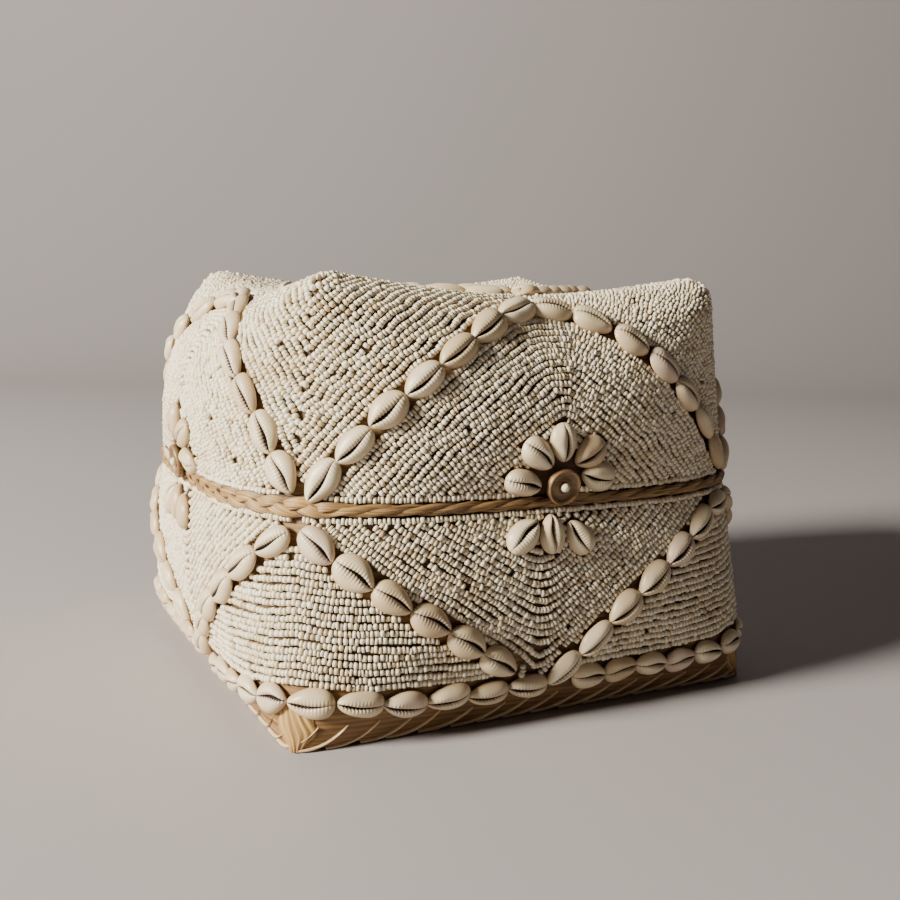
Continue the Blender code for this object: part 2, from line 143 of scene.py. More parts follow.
ROW_COWRIE_WIDTH = 0.0118
PETAL_TIP_GAP = 0.0006
PETAL_SIDE_GAP = -0.0011  # beads reach a little under the petals
PETAL_SIZE = 0.94         # of a petal's length in the source
PETAL_COWRIE_WIDTH = 0.0123
PETAL_DEPTH = 0.02        # beads this far from a petal's face are on another wall
BUTTON_CLEAR = 0.0115     # no beads this near to the middle of a button
ROUNDED_V = 0.0045        # how softly the rows turn at the bottom of the base's V
ROW_WOBBLE = 0.00036      # hand-sewn rows wander by this
EDGE_TURN = 0.93          # the v where the lid's wall starts to turn over its edge
FACE_ROWS_END = 1.06
TOP_ROWS_START = 1.11     # from this v on the rows follow the diamond on top
CORNER_ROWS_END = TOP_ROWS_START + 0.012
TOP_ROWS_END = 1.995
BASE_ROWS_START = 0.012
LEVEL_ROWS_START = 0.018
BASE_ROWS_END = 0.088
ROWS_ASIDE = (0, 1, 0, 2)  # around each corner of the lid, rows by which the V lies to its left
LID_LINE_ENDS = (-0.985, 0.985)
TOP_LINE_ENDS = (0.05, 1.95)
LOST_BEADS = 0.003        # share of beads that are missing
BATCH = 4000              # points measured at a time, to save memory
CELL_EDGE = 0.08          # share of a cell of a bake map that stays free on each side

# Camera, solved from the photo
CAMERA_AT = (-0.23322, -0.48620, 0.17642)
CAMERA_YAW = 0.46073
CAMERA_PITCH = -0.14922
CAMERA_ROLL = 0.01744
SENSOR = 36.0
LENS = 44.68


# Surfaces of the base and the lid

def curve(t, handles):
    a, b, c, d = handles
    u = 1 - t
    return a * u**3 + 3 * b * u * u * t + 3 * c * u * t * t + d * t**3


def between(low, high, share):
    return low + (high - low) * share


def unit(vectors):
    return vectors / np.linalg.norm(vectors, axis=-1, keepdims=True)


def square_to(normals, vectors):
    """The unit directions of vectors once they are turned square to the normals."""
    return unit(vectors - normals * (vectors * normals).sum(1, keepdims=True))


def run_along(points):
    """Length along a line, from 0 at its first point."""
    steps = np.linalg.norm(np.diff(points, axis=0), axis=1)
    return np.concatenate(([0.0], np.cumsum(steps)))


def face_of(u):
    return np.floor((u + 1) / 2).astype(int) % 4


def across_face(u):
    return u - 2 * np.floor((u + 1) / 2)


def plan_point(u, middle, corner, stretch):
    """A rounded square through (middle, 0) and (corner, corner)."""
    s = across_face(u)
    power = math.log(2) / np.log(middle / np.minimum(corner, CORNER_ROUNDING * middle))
    pull = (1 + np.abs(s) ** power) ** (-1 / power)
    along, out = s * middle * pull, -middle * pull
    face = face_of(u)
    x = np.choose(face, (along, -out, -along, out))
    y = np.choose(face, (out, along, -out, -along))
    return x * stretch + SIT_X, y / stretch


def base_surface(u, z):
    u, z = np.broadcast_arrays(np.asarray(u, float), np.asarray(z, float))
    t = z / BRAID_Z
    stretch = between(FLOOR_STRETCH, BRAID_STRETCH, t)
    x, y = plan_point(u, curve(t, BASE_MIDDLE), curve(t, BASE_CORNER), stretch)
    return np.stack((x, y, z), -1)


def edge_height(u):
    return between(EDGE_Z, PEAK_Z, np.abs(across_face(u)) ** PEAK_FLARE)


def lid_share(z, u):
    return (z - BRAID_Z) / (edge_height(u) - BRAID_Z)


def lid_wall(u, t):
    stretch = between(BRAID_STRETCH, TOP_STRETCH, t)
    x, y = plan_point(u, curve(t, LID_MIDDLE), curve(t, LID_CORNER), stretch)
    return np.stack((x + LID_LEAN * t, y, between(BRAID_Z, edge_height(u), t)), -1)


def lid_top(u, r):
    edge = lid_wall(u, np.ones_like(u))
    reach = r * (1 + np.abs(across_face(u)))
    height = EDGE_Z - TOP_SAG * (1 - np.minimum(1.0, reach) ** 2)
    height += (PEAK_Z - EDGE_Z) * np.maximum(0.0, reach - 1) ** PEAK_FLARE
    return np.stack((between(SIT_X + LID_LEAN, edge[..., 0], r), edge[..., 1] * r, height), -1)


def lid_surface(u, v):
    u, v = np.broadcast_arrays(np.asarray(u, float), np.asarray(v, float))
    t = np.clip((v - 1 + SHOULDER_DOWN) / (SHOULDER_DOWN + SHOULDER_IN), 0, 1)[..., None]
    start = lid_wall(u, np.minimum(v, 1 - SHOULDER_DOWN))
    end = lid_top(u, np.minimum(2 - v, 1 - SHOULDER_IN))
    return (1 - t) ** 2 * start + 2 * t * (1 - t) * lid_wall(u, np.ones_like(u)) + t**2 * end


def normals_at(surface, u, v):
    step_u = 0.002
    step_v = 0.0002 if surface is base_surface else 0.002
    around = surface(u + step_u, v) - surface(u - step_u, v)
    up = surface(u, v + step_v) - surface(u, v - step_v)
    return unit(np.cross(around, up))


def place(surface, u, v, out):
    return surface(u, v) + np.asarray(out)[..., None] * normals_at(surface, u, v)


def row_height(u):
    return ROW_MIDDLE + ROW_RISE * across_face(u) ** 2


def garland_height(u):
    middle, slope, roundness = np.moveaxis(GARLANDS[face_of(u)], -1, 0)
    bend = (np.abs(across_face(u)) ** 3 + roundness**3) ** (1 / 3) - roundness
    return middle - slope * bend


def garland_share(u):
    return lid_share(garland_height(u), u)


def arm_height(along, low, slope, bend):
    along = np.maximum(0.0, along)
    return np.minimum(ARM_TOP, low + slope * along - bend * along**2)


def left_arm(u):
    return arm_height(LEFT_ARM_TIP + FACE_SHIFT[face_of(u)] - across_face(u), *LEFT_ARM_SHAPE)


def right_arm(u):
    return arm_height(across_face(u) - RIGHT_ARM_TIP - FACE_SHIFT[face_of(u)], *RIGHT_ARM_SHAPE)


def diamond_share(u):
    return 2 - DIAMOND / (1 + np.abs(across_face(u)))


# Shell strings and flowers: where each shell lies

def string_tips(surface, height_of, knots):
    """The u of each shell's tips along a string, spaced as in the part's source."""
    first, last = knots[0][0], knots[-1][0]
    spots = np.linspace(first, last, 161)
    run = run_along(surface(spots, height_of(spots)))
    shares = [(u - first) / (last - first) for u, _ in knots]
    knot_runs = np.interp(shares, np.linspace(0, 1, len(spots)), run)
    counts = [count for _, count in knots]
    tips = np.interp(np.arange(counts[-1] + 1), counts, knot_runs)
    return np.interp(tips, run, spots)


def string_shells(surface, height_of, knots, point_back, peak=0.0, faces_lower=0.0):
    """Centre, direction to the pointed end, normal and length of each shell of a string,
    with the tip in the middle of the string raised a little. The shells face the way that
    the surface does a little lower."""
    tips = string_tips(surface, height_of, knots)
    ends = surface(tips, height_of(tips))
    ends[len(ends) // 2, 2] += peak
    middle = (tips[1:] + tips[:-1]) / 2
    normal = normals_at(surface, middle, height_of(middle) - faces_lower)
    along = ends[1:] - ends[:-1]
    length = np.linalg.norm(along, axis=1)
    centre = (surface(middle, height_of(middle)) + (ends[1:] + ends[:-1]) / 2) / 2
    ahead = square_to(normal, along)
    ahead[np.broadcast_to(point_back, len(ahead))] *= -1
    return centre, ahead, normal, length


def moved(knots, distance):
    return tuple((u + distance, count) for u, count in knots)


def arm_knots(face):
    shift = FACE_SHIFT[face]
    left_count, right_count = ARM_COUNTS[face]
    low, turn, top = LEFT_ARM_ENDS
    left = ((low + shift, 0), (turn + shift / 2, left_count / 2), (top, left_count))
    right = ((RIGHT_ARM_ENDS[0] + shift, 0), (RIGHT_ARM_ENDS[1], right_count))
    return moved(left, 2 * face), moved(right, 2 * face)


def row_knots(corner):
    before, after = ROW_COUNTS[corner]
    start, turn, end = ROW_ENDS
    row = ((start + FACE_SHIFT[corner], 0), (turn, before),
           (end + FACE_SHIFT[(corner + 1) % 4], before + after))
    return moved(row, 2 * corner)


def wall_frame(surface, u, v):
    """Point, normal, across and up directions of the wall at one place."""
    point, normal = surface(u, v), normals_at(surface, u, v)
    across = unit(np.cross(UP, normal))
    return point, normal, across, np.cross(normal, across)


def petal_places(face):
    """The shells of a flower as (on the lid?, centre, direction to the button, normal)."""
    places = []
    for place_degrees, degrees in LID_PETALS:
        turn = math.radians(place_degrees)
        z = BUTTON_Z + LID_PETAL_RADIUS * math.sin(turn)
        places.append((True, BUTTON_U, LID_PETAL_RADIUS * math.cos(turn), z, degrees))
    places += [(False, BASE_FLOWER_U, *petal) for petal in BASE_PETALS]
    found = []
    for on_lid, middle, aside, z, degrees in places:
        u = 2 * face + middle + aside / FACE_WIDTH
        surface, height = (lid_surface, lid_share(z, u)) if on_lid else (base_surface, z)
        point, normal, across, up = wall_frame(surface, u, height)
        turn = math.radians(degrees)
        found.append((on_lid, point, -across * math.cos(turn) - up * math.sin(turn), normal))
    return found


# Rows of beads: lines on the surface along which a field keeps a value

def contour_lines(field, level):
    """Lines in grid coordinates along which the field has a level."""
    rows, columns = field.shape
    size = field.size
    number = np.arange(size).reshape(field.shape)
    i, j = grid(np.arange(rows, dtype=float), np.arange(columns, dtype=float))
    crossed, spots = [], []
    for di, dj in ((1, 0), (0, 1), (1, 1)):
        a, b = field[:rows - di, :columns - dj], field[di:, dj:]
        hit = (a > level) != (b > level)
        share = np.where(hit, (level - a) / np.where(hit, b - a, 1), 0)
        room = ((0, di), (0, dj))
        crossed.append(np.pad(hit, room))
        share = np.pad(share, room)
        spots.append(np.stack((i + share * di, j + share * dj), -1).reshape(-1, 2))
    cell, right, over = ((slice(di, rows - 1 + di), slice(dj, columns - 1 + dj))
                         for di, dj in ((0, 0), (1, 0), (0, 1)))
    pairs = []
    for sides in (((0, cell), (1, right), (2, cell)), ((0, over), (1, cell), (2, cell))):
        for first, second in ((0, 1), (1, 2), (0, 2)):
            (kind_a, where_a), (kind_b, where_b) = sides[first], sides[second]
            both = crossed[kind_a][where_a] & crossed[kind_b][where_b]
            pairs.append(np.stack((number[where_a][both] + kind_a * size,
                                   number[where_b][both] + kind_b * size), -1))
    return chains(np.concatenate(pairs), np.concatenate(spots))


def chains(pairs, spots):
    """Joins pairs of crossing numbers into lines of points."""
    neighbours = {}
    for a, b in pairs.tolist():
        neighbours.setdefault(a, []).append(b)
        neighbours.setdefault(b, []).append(a)
    starts = [a for a, near in neighbours.items() if len(near) == 1] + list(neighbours)
    used, lines = set(), []
    for start in starts:
        if start in used:
            continue
        line, at = [start], start
        used.add(start)
        while True:
            ahead = [b for b in neighbours[at] if b not in used]
            if not ahead:
                break
            at = ahead[0]
            used.add(at)
            line.append(at)
        if len(line) > 3:
            lines.append(spots[line])
    return lines


def beads_along(surface, us, vs):
    """Beads side by side on a line: their u, v, direction and length."""
    points = surface(us, vs)
    run = run_along(points)
    count = int(run[-1] / BEAD_LENGTH)
    if count < 1:
        return np.zeros((0, 6))
    lengths = 1 + BEAD_LENGTH_VARIES * RNG.standard_normal(count)
    lengths = BEAD_LENGTH * np.clip(lengths, *BEAD_LENGTHS)
    ends = np.cumsum(lengths) + RNG.uniform(0, ROW_STARTS_LATE) * BEAD_LENGTH
    ends = ends[ends < run[-1]]
    lengths = lengths[:len(ends)]
    at = ends - lengths / 2
    u, v = np.interp(at, run, us), np.interp(at, run, vs)
    ahead, behind = (np.stack([np.interp(at + reach, run, points[:, k]) for k in range(3)], -1)
                     for reach in (BEAD_REACH, -BEAD_REACH))
    return np.concatenate((u[:, None], v[:, None], unit(ahead - behind), lengths[:, None]), 1)


def field_rows(surface, us, vs, field, first, pitch=ROW_PITCH):
    """Beads along the lines where the field is first, first + pitch, and so on."""
    found = []
    for level in np.arange(first, float(field.max()), pitch):
        for line in contour_lines(field, level):
            u = np.interp(line[:, 0], np.arange(len(us)), us)
            v = np.interp(line[:, 1], np.arange(len(vs)), vs)
            found.append(beads_along(surface, u, v))
    return np.concatenate(found) if found else np.zeros((0, 6))


def distance_to(points, line):
    """From each point to the nearest of a line's points."""
    flat = points.reshape(-1, 3)
    nearest = [np.linalg.norm(flat[start:start + BATCH, None] - line[None], axis=2).min(1)
               for start in range(0, len(flat), BATCH)]
    return np.concatenate(nearest).reshape(points.shape[:-1])


def wobble(u, v, seed):
    """A slow wave that makes rows wander a little."""
    rng = np.random.default_rng(seed)
    total = 0
    for _ in range(4):
        along, up, phase = rng.uniform(-26, 26), rng.uniform(-20, 20), rng.uniform(0, 6.3)
        total = total + np.sin(along * u + up * v + phase)
    return ROW_WOBBLE * total / 2


def string_line(surface, height_of, first, last):
    spots = np.linspace(first, last, 160)
    return surface(spots, height_of(spots))


def arm_line(face, side):
    knots = arm_knots(face)[side]
    return string_line(base_surface, (left_arm, right_arm)[side], knots[0][0], knots[-1][0])


LID_LINES = [string_line(lid_surface, garland_share, *(2 * face + end for end in LID_LINE_ENDS))
             for face in range(4)]
LEFT_LINES, RIGHT_LINES = ([arm_line(face, side) for face in range(4)] for side in (0, 1))
TOP_LINES = [string_line(lid_surface, diamond_share, *(2 * face + end for end in TOP_LINE_ENDS))
             for face in range(4)]


def grid(us, vs):
    return np.meshgrid(us, vs, indexing="ij")


def unrolled(points, vs):
    """Points of the lid's wall, with what lies over its edge laid flat above the wall."""
    k = np.searchsorted(vs, EDGE_TURN)
    steps = np.linalg.norm(np.diff(points[:, k:], axis=1), axis=2, keepdims=True)
    run = np.cumsum(steps, axis=1)
    upward = unit(points[:, k] - points[:, k - 2])[:, None]
    return np.concatenate((points[:, :k + 1], points[:, k:k + 1] + upward * run), axis=1)


def lid_face_beads(face):
    """Rows under the garland, which follow it down to the plait."""
    us = np.linspace(2 * face - 1, 2 * face + 1, 190)
    vs = np.linspace(0.0, FACE_ROWS_END, 90)
    u, v = grid(us, vs)
    away = distance_to(lid_surface(u, v), LID_LINES[face]) + wobble(u, v * 3, face)
    field = np.where(v < garland_share(u), away, -away)
    beads = field_rows(lid_surface, us, vs, field, FIRST_ROW, FACE_ROW_PITCH)
    return beads[beads[:, 1] < garland_share(beads[:, 0])]


def lid_corner_beads(corner):
    """Rows over the garlands, which meet in a V on the corner."""
    us = np.linspace(2 * corner, 2 * corner + 2, 190)
    vs = np.linspace(0.0, CORNER_ROWS_END, 96)
    u, v = grid(us, vs)
    points = unrolled(lid_surface(u, v), vs)
    first = distance_to(points, LID_LINES[corner]) + ROWS_ASIDE[corner] * ROW_PITCH
    second = distance_to(points, LID_LINES[(corner + 1) % 4])
    away = np.minimum(first, second) + wobble(u, v * 3, 10 + corner)
    field = np.where(v > garland_share(u), away, -away)
    beads = field_rows(lid_surface, us, vs, field, FIRST_ROW)
    return beads[beads[:, 1] > garland_share(beads[:, 0])]


def lid_top_beads(corner):
    """Rows on both sides of the diamond on top, along its side."""
    us = np.linspace(2 * corner, 2 * corner + 2, 150)
    vs = np.linspace(TOP_ROWS_START, TOP_ROWS_END, 110)
    u, v = grid(us, vs)
    away = distance_to(lid_surface(u, v), TOP_LINES[corner]) + wobble(u, v * 3, 20 + corner)
    inside = v > diamond_share(u)
    found = [field_rows(lid_surface, us, vs, np.where(side, away, -away), FIRST_ROW)
             for side in (inside, ~inside)]
    return np.concatenate(found)


def over_arms(u, z):
    return z > np.maximum(left_arm(u), right_arm(u))


def base_face_beads(face):
    """Rows over the base's garland, nested in its V."""
    us = np.linspace(2 * face - 1, 2 * face + 1, 190)
    zs = np.linspace(BASE_ROWS_START, BASE_ROWS_END, 90)
    u, z = grid(us, zs)
    points = base_surface(u, z)
    left, right = (distance_to(points, lines[face]) for lines in (LEFT_LINES, RIGHT_LINES))
    away = -ROUNDED_V * np.log(np.exp(-left / ROUNDED_V) + np.exp(-right / ROUNDED_V))
    away = away + wobble(u, z * 30, 30 + face)
    beads = field_rows(base_surface, us, zs, np.where(over_arms(u, z), away, -1),
                       FIRST_ROW - V_ROWS_NEARER, FACE_ROW_PITCH)
    return beads[over_arms(beads[:, 0], beads[:, 1])]


def base_corner_beads(corner):
    """Level rows around the corner, between the row of shells and the arms."""
    us = np.linspace(2 * corner - 0.1, 2 * corner + 2.1, 200)
    zs = np.linspace(LEVEL_ROWS_START, BASE_ROWS_END, 90)
    u, z = grid(us, zs)
    run = np.array([run_along(column) for column in base_surface(u, z)])
    start = [np.interp(row_height(a) + BEADS_OVER_ROW, zs, run[k]) for k, a in enumerate(us)]
    away = run - np.array(start)[:, None] + wobble(u, z * 30, 40 + corner)
    beads = field_rows(base_surface, us, zs, away, FIRST_LEVEL_ROW)
    u, z = beads[:, 0], beads[:, 1]
    return beads[z < np.where(u < 2 * corner + 1, right_arm(u), left_arm(u))]


def lid_row(u):
    return BRAID_Z + between(BEADS_OVER_BRAID, BEADS_OVER_PLAIT, flat_share(u)) + BEAD_RADIUS


def lid_row_share(u):
    return lid_share(lid_row(u), u)


def base_row(u):
    return np.full_like(u, JOINT_Z - BEADS_UNDER_JOINT - BEAD_RADIUS)


def clear_of_joint(beads, on_lid):
    """The beads that leave room for the row along the joint."""
    u, height = beads[:, 0], beads[:, 1]
    if on_lid:
        return beads[between(BRAID_Z, edge_height(u), height) > lid_row(u) + ROW_CLEAR]
    return beads[height < base_row(u) - ROW_CLEAR]


def rim_beads(surface, heights, face):
    """One row along the joint, across a face."""
    us = np.linspace(2 * face - 1, 2 * face + 1, 120)
    return beads_along(surface, us, heights(us))


def clear_of_shells(points, on_lid, strings, face):
    """Which beads are beside the strings, the petals and the button, and not under them."""
    clear = np.ones(len(points), bool)
    for line in strings:
        clear &= distance_to(points, line) > FIRST_ROW - UNDER_STRING
    for near in (face - 1, face, face + 1):
        for petal_on_lid, centre, along, normal in petal_places(near % 4):
            if petal_on_lid != on_lid:
                continue
            off = points - centre
            a = off @ along / (PETAL_LENGTH * PETAL_SIZE / 2 + PETAL_TIP_GAP)
            b = off @ np.cross(normal, along) / (PETAL_COWRIE_WIDTH / 2 + PETAL_SIDE_GAP)
            clear &= (a * a + b * b > 1) | (np.abs(off @ normal) > PETAL_DEPTH)
        if on_lid:
            u = 2 * (near % 4) + BUTTON_U
            middle = lid_surface(u, lid_share(BUTTON_Z, u))
            clear &= np.linalg.norm(points - middle, axis=1) > BUTTON_CLEAR
    return clear & (RNG.uniform(0, 1, len(points)) > LOST_BEADS)


# Meshes

def joined_rings(rings, ends=None, closed=False):
    """Points and triangles of rings that are joined in turn. Each end has a fan of triangles
    to a point, in its middle unless it is given, or the last ring is joined to the first."""
    count = len(rings[0])
    k = np.arange(count)
    n = (k + 1) % count
    triangles = []
    for r in range(len(rings) if closed else len(rings) - 1):
        low, high = r * count, (r + 1) % len(rings) * count
        triangles += [np.stack((low + k, low + n, high + n), -1),
                      np.stack((low + k, high + n, high + k), -1)]
    points = np.concatenate(rings)
    if not closed:
        first, top = len(points), len(points) - count
        if ends is None:
            ends = (rings[0].mean(0), rings[-1].mean(0))
        points = np.concatenate((points, ends))
        triangles += [np.stack((n, k, np.full_like(k, first)), -1),
                      np.stack((top + k, top + n, np.full_like(k, first + 1)), -1)]
    return points, np.concatenate(triangles)


def laid_copies(triangles, centres, axes, places):
    """Points and triangles of a form that lies at many centres, from the places of the form's
    points along the three axes of each copy."""
    points = centres[:, None]
    for axis, along in zip(axes, places):
        points = points + along[..., None] * axis[:, None]
    firsts = np.arange(len(centres)) * points.shape[1]
    return points.reshape(-1, 3), (triangles[None] + firsts[:, None, None]).reshape(-1, 3)


def bead_template():
    """A closed bead of half length 1 and radius 1 along X, with Z outwards."""
    rim = np.stack((np.zeros(6), np.sin(BEAD_ANGLES), np.cos(BEAD_ANGLES)), -1)
    body = np.array((BEAD_BODY, 0, 0))
    points, triangles = joined_rings((rim - body, rim + body), ((-1, 0, 0), (1, 0, 0)))
    return points, triangles[:, ::-1]


def mesh_object(name, points, triangles, material, attributes=()):
    """A mesh object from arrays of points and triangles."""
    mesh = bpy.data.meshes.new(name)
    mesh.vertices.add(len(points))
    mesh.vertices.foreach_set("co", np.ascontiguousarray(points, np.float32).ravel())
    mesh.loops.add(triangles.size)
    mesh.loops.foreach_set("vertex_index", np.ascontiguousarray(triangles, np.int32).ravel())
    mesh.polygons.add(len(triangles))
    mesh.polygons.foreach_set("loop_start", np.arange(0, triangles.size, 3, dtype=np.int32))
    mesh.update(calc_edges=True)
    mesh.shade_smooth()
    for label, values in attributes:
        layer = mesh.attributes.new(label, "FLOAT", "POINT")
        layer.data.foreach_set("value", np.ascontiguousarray(values, np.float32))
    mesh.materials.append(material)
    made = bpy.data.objects.new(name, mesh)
    bpy.context.scene.collection.objects.link(made)
    return made


def add_piece(name, form, material, node, attributes, sharp_from=None):
    """A piece from points and triangles, which stands for a node of the frame."""
    piece = mesh_object(name, *form, material, attributes)
    if sharp_from:
        piece.data.set_sharp_from_angle(angle=math.radians(sharp_from))
    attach(piece, "root")
    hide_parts(node)
    return piece


def cell_map(mesh, corner_places, count):
    """A bake map with a cell for each of many copies of a small form."""
    side = math.ceil(math.sqrt(count))
    cells = np.arange(count)
    origin = np.stack((cells % side, cells // side), -1)[:, None, :]
    places = (origin + CELL_EDGE + (1 - 2 * CELL_EDGE) * corner_places[None]) / side
    layer = mesh.uv_layers.new(name="OFBake")
    layer.data.foreach_set("uv", places.astype(np.float32).ravel())


def bead_corner_places(points, triangles):
    """Where each corner of a bead's triangles lies in its cell."""
    angle = np.arctan2(points[:, 1], points[:, 2]) / math.tau + 0.5
    places = np.stack((points[:, 0] / 2 + 0.5, angle), -1)[triangles]
    around = places[..., 1]
    around += around.max(1, keepdims=True) - around > 0.5
    beside = triangles < len(points) - 2
    middle = (around * beside).sum(1, keepdims=True) / beside.sum(1, keepdims=True)
    places[..., 1] = np.where(beside, around, middle) / 1.2
    return places.reshape(-1, 2)


def bead_piece(name, surface, beads, material):
    """All beads of one area as a mesh, each a little different."""
    form, triangles = bead_template()
    count = len(beads)
    u, v, length = beads[:, 0], beads[:, 1], beads[:, 5]
    normal = normals_at(surface, u, v)
    along = square_to(normal, beads[:, 2:5])
    along = unit(along + normal * RNG.normal(0, BEAD_TILT, (count, 1))
                 + np.cross(normal, along) * RNG.normal(0, BEAD_TURN, (count, 1)))
    side = unit(np.cross(normal, along))
    out = np.cross(along, side)
    radius = 1 + BEAD_RADIUS_VARIES * RNG.standard_normal((count, 1))
    radius = BEAD_RADIUS * np.clip(radius, *BEAD_RADII)
    centre = surface(u, v) + normal * (BEAD_SEAT + RNG.normal(0, BEAD_SHIFT, (count, 1)))
    centre = centre + side * RNG.normal(0, BEAD_SHIFT, (count, 1))
    half = (length * 0.5 * RNG.uniform(*BEAD_FILLS, count))[:, None]
    copies = laid_copies(triangles, centre, (along * half, side * radius, out * radius), form.T)
    tint = np.repeat(RNG.uniform(0, 1, count), len(form))
    node = "lid_beadwork" if surface is lid_surface else "base_beadwork"
    piece = add_piece(name, copies, material, node, (("tint", tint),))
    cell_map(piece.data, bead_corner_places(form, triangles), count)


def bead_area(name, on_lid, beads, strings, face, material):
    """The beads of one area that are beside the shells and the button."""
    surface = lid_surface if on_lid else base_surface
    beads = np.concatenate(beads)
    clear = clear_of_shells(surface(beads[:, 0], beads[:, 1]), on_lid, strings, face)
    bead_piece(name, surface, beads[clear], material)


def build_beads(material):
    for face, name in enumerate(FACES):
        beads = (clear_of_joint(lid_face_beads(face), True),
                 rim_beads(lid_surface, lid_row_share, face))
        bead_area(f"lid_beads_{name}", True, beads, [LID_LINES[face]], face, material)
        beads = (clear_of_joint(base_face_beads(face), False),
                 rim_beads(base_surface, base_row, face))
        strings = [LEFT_LINES[face], RIGHT_LINES[face]]
        bead_area(f"base_beads_{name}", False, beads, strings, face, material)
    for corner, name in enumerate(CORNERS):
        after = (corner + 1) % 4
        beads = clear_of_joint(lid_corner_beads(corner), True), lid_top_beads(corner)
        strings = [LID_LINES[corner], LID_LINES[after], *TOP_LINES]
        bead_area(f"lid_corner_beads_{name}", True, beads, strings, corner, material)
        beads = [clear_of_joint(base_corner_beads(corner), False)]
        strings = [RIGHT_LINES[corner], LEFT_LINES[after]]
        bead_area(f"base_corner_beads_{name}", False, beads, strings, corner, material)


# Cowries

SHELL_STATIONS = 23
SLIT_CLOSES = 0.12        # share of a shell's half length over which the slit gets deep
LIP_COLUMNS = (0, 0.05, 0.14, 0.28, 0.46, 0.66, 0.84, 0.95, 1)
UNDER_COLUMNS = (0.72, 0.35, -0.35, -0.72)
SLIT_EDGE = 0.1           # the place of the slit's edge in the values across a shell


def shell_template():
    """A cowrie, slit side up: half length 1 along X, half width 1 along Y, and its
    top from 0 at the margin to 1. The pointed end is at X = 1. Also gives each point's
    place along the shell and across it from the slit."""
    x = -np.cos(np.linspace(0.0, math.pi, SHELL_STATIONS))
    columns = SLIT_EDGE + (1 - SLIT_EDGE) * np.array(LIP_COLUMNS, float)
    q = np.concatenate((-columns[::-1], (-0.04, 0.04), columns))
    nose = 1 - 0.12 * x - 0.20 * np.clip(x, 0, 1) ** 2
    half = np.sqrt(np.maximum(0.0, 1 - x * x)) ** 0.90 * nose
    body = ((1 - np.abs(x) ** 2.6) ** 0.55)[:, None]
    slit = (0.17 * (1 - x * x) - 0.02 + 0.03 * np.sin(3 * x))[:, None]
    opening = np.clip((x + 0.80) / 1.25, 0, 1) ** 1.3
    opening = opening * (1 - 0.75 * np.clip((x - 0.72) / 0.28, 0, 1))
    wide = (0.020 + 0.098 * opening)[:, None]
    share = np.clip((np.abs(q) - SLIT_EDGE) / (1 - SLIT_EDGE), 0, 1)
    inside = np.clip(np.abs(q) / SLIT_EDGE, 0, 1)
    t = slit + np.sign(q) * (wide * inside + (1 - np.sign(q) * slit - wide) * share)
    dome = np.maximum(0.0, 1 - np.abs(t) ** 2.3) ** 0.62
    depth = (np.clip((1 - np.abs(x)) / SLIT_CLOSES, 0, 1) * (0.30 + 0.55 * opening))[:, None]
    from_edge = np.maximum(np.abs(t - slit) - wide, 0)
    lips = 0.10 * np.exp(-(from_edge / 0.32) ** 2)
    lips = lips + 0.34 * depth * np.exp(-(from_edge / 0.075) ** 2)
    valley = np.where(inside < 1, lips + 0.62 * depth, lips)
    top = body * np.maximum(dome - valley * (dome > 0), 0)
    under = np.array(UNDER_COLUMNS)[None]
    across = np.concatenate((t, np.broadcast_to(under, (SHELL_STATIONS, under.size))), 1)
    up = np.concatenate((top, -0.85 * (1 - under**2) * body), 1)
    along = np.broadcast_to(x[:, None], up.shape)
    rings = np.stack((along, across * half[:, None], up), -1)
    points, triangles = joined_rings(rings[1:-1], (rings[0].mean(0), rings[-1].mean(0)))
    from_slit = np.broadcast_to(np.append(q, np.sign(under) * 1.5), up.shape)
    along, from_slit = (np.append(values[1:-1], tips)
                        for values, tips in ((along, (-1, 1)), (from_slit, (0, 0))))
    return points, triangles[:, ::-1], along, from_slit


SHELL_LOW = 0.0029        # a shell's margin above the bamboo
ROW_SHELL_LOW = 0.0021
GARLAND_PEAK = 0.0030
GARLAND_FACES_LOWER = 0.10   # of the lid's wall
SHELL_OFF_WALL = 0.0003
SHELL_LUMPS = 0.055
SHELL_ROLL = 0.09
SHELL_LENGTHS = (0.97, 1.04)
SHELL_WIDTHS = (0.92, 1.06)
SHELL_HEIGHTS = (0.93, 1.06)
SHELL_FORM = shell_template()
# Width, margin and top above the bamboo, share of its place that a shell fills, how far the
# shells lie out of line, and how much they are turned
SHELL_KINDS = {"string": (COWRIE_WIDTH, SHELL_LOW, SHELL_TOP, 1.03, 0.0002, 0.06),
               "row": (ROW_COWRIE_WIDTH, ROW_SHELL_LOW, ROW_SHELL_TOP, 1.03, 0.0008, 0.11),
               "flower": (PETAL_COWRIE_WIDTH, SHELL_LOW, SHELL_TOP, PETAL_SIZE, 0.0002, 0.06)}


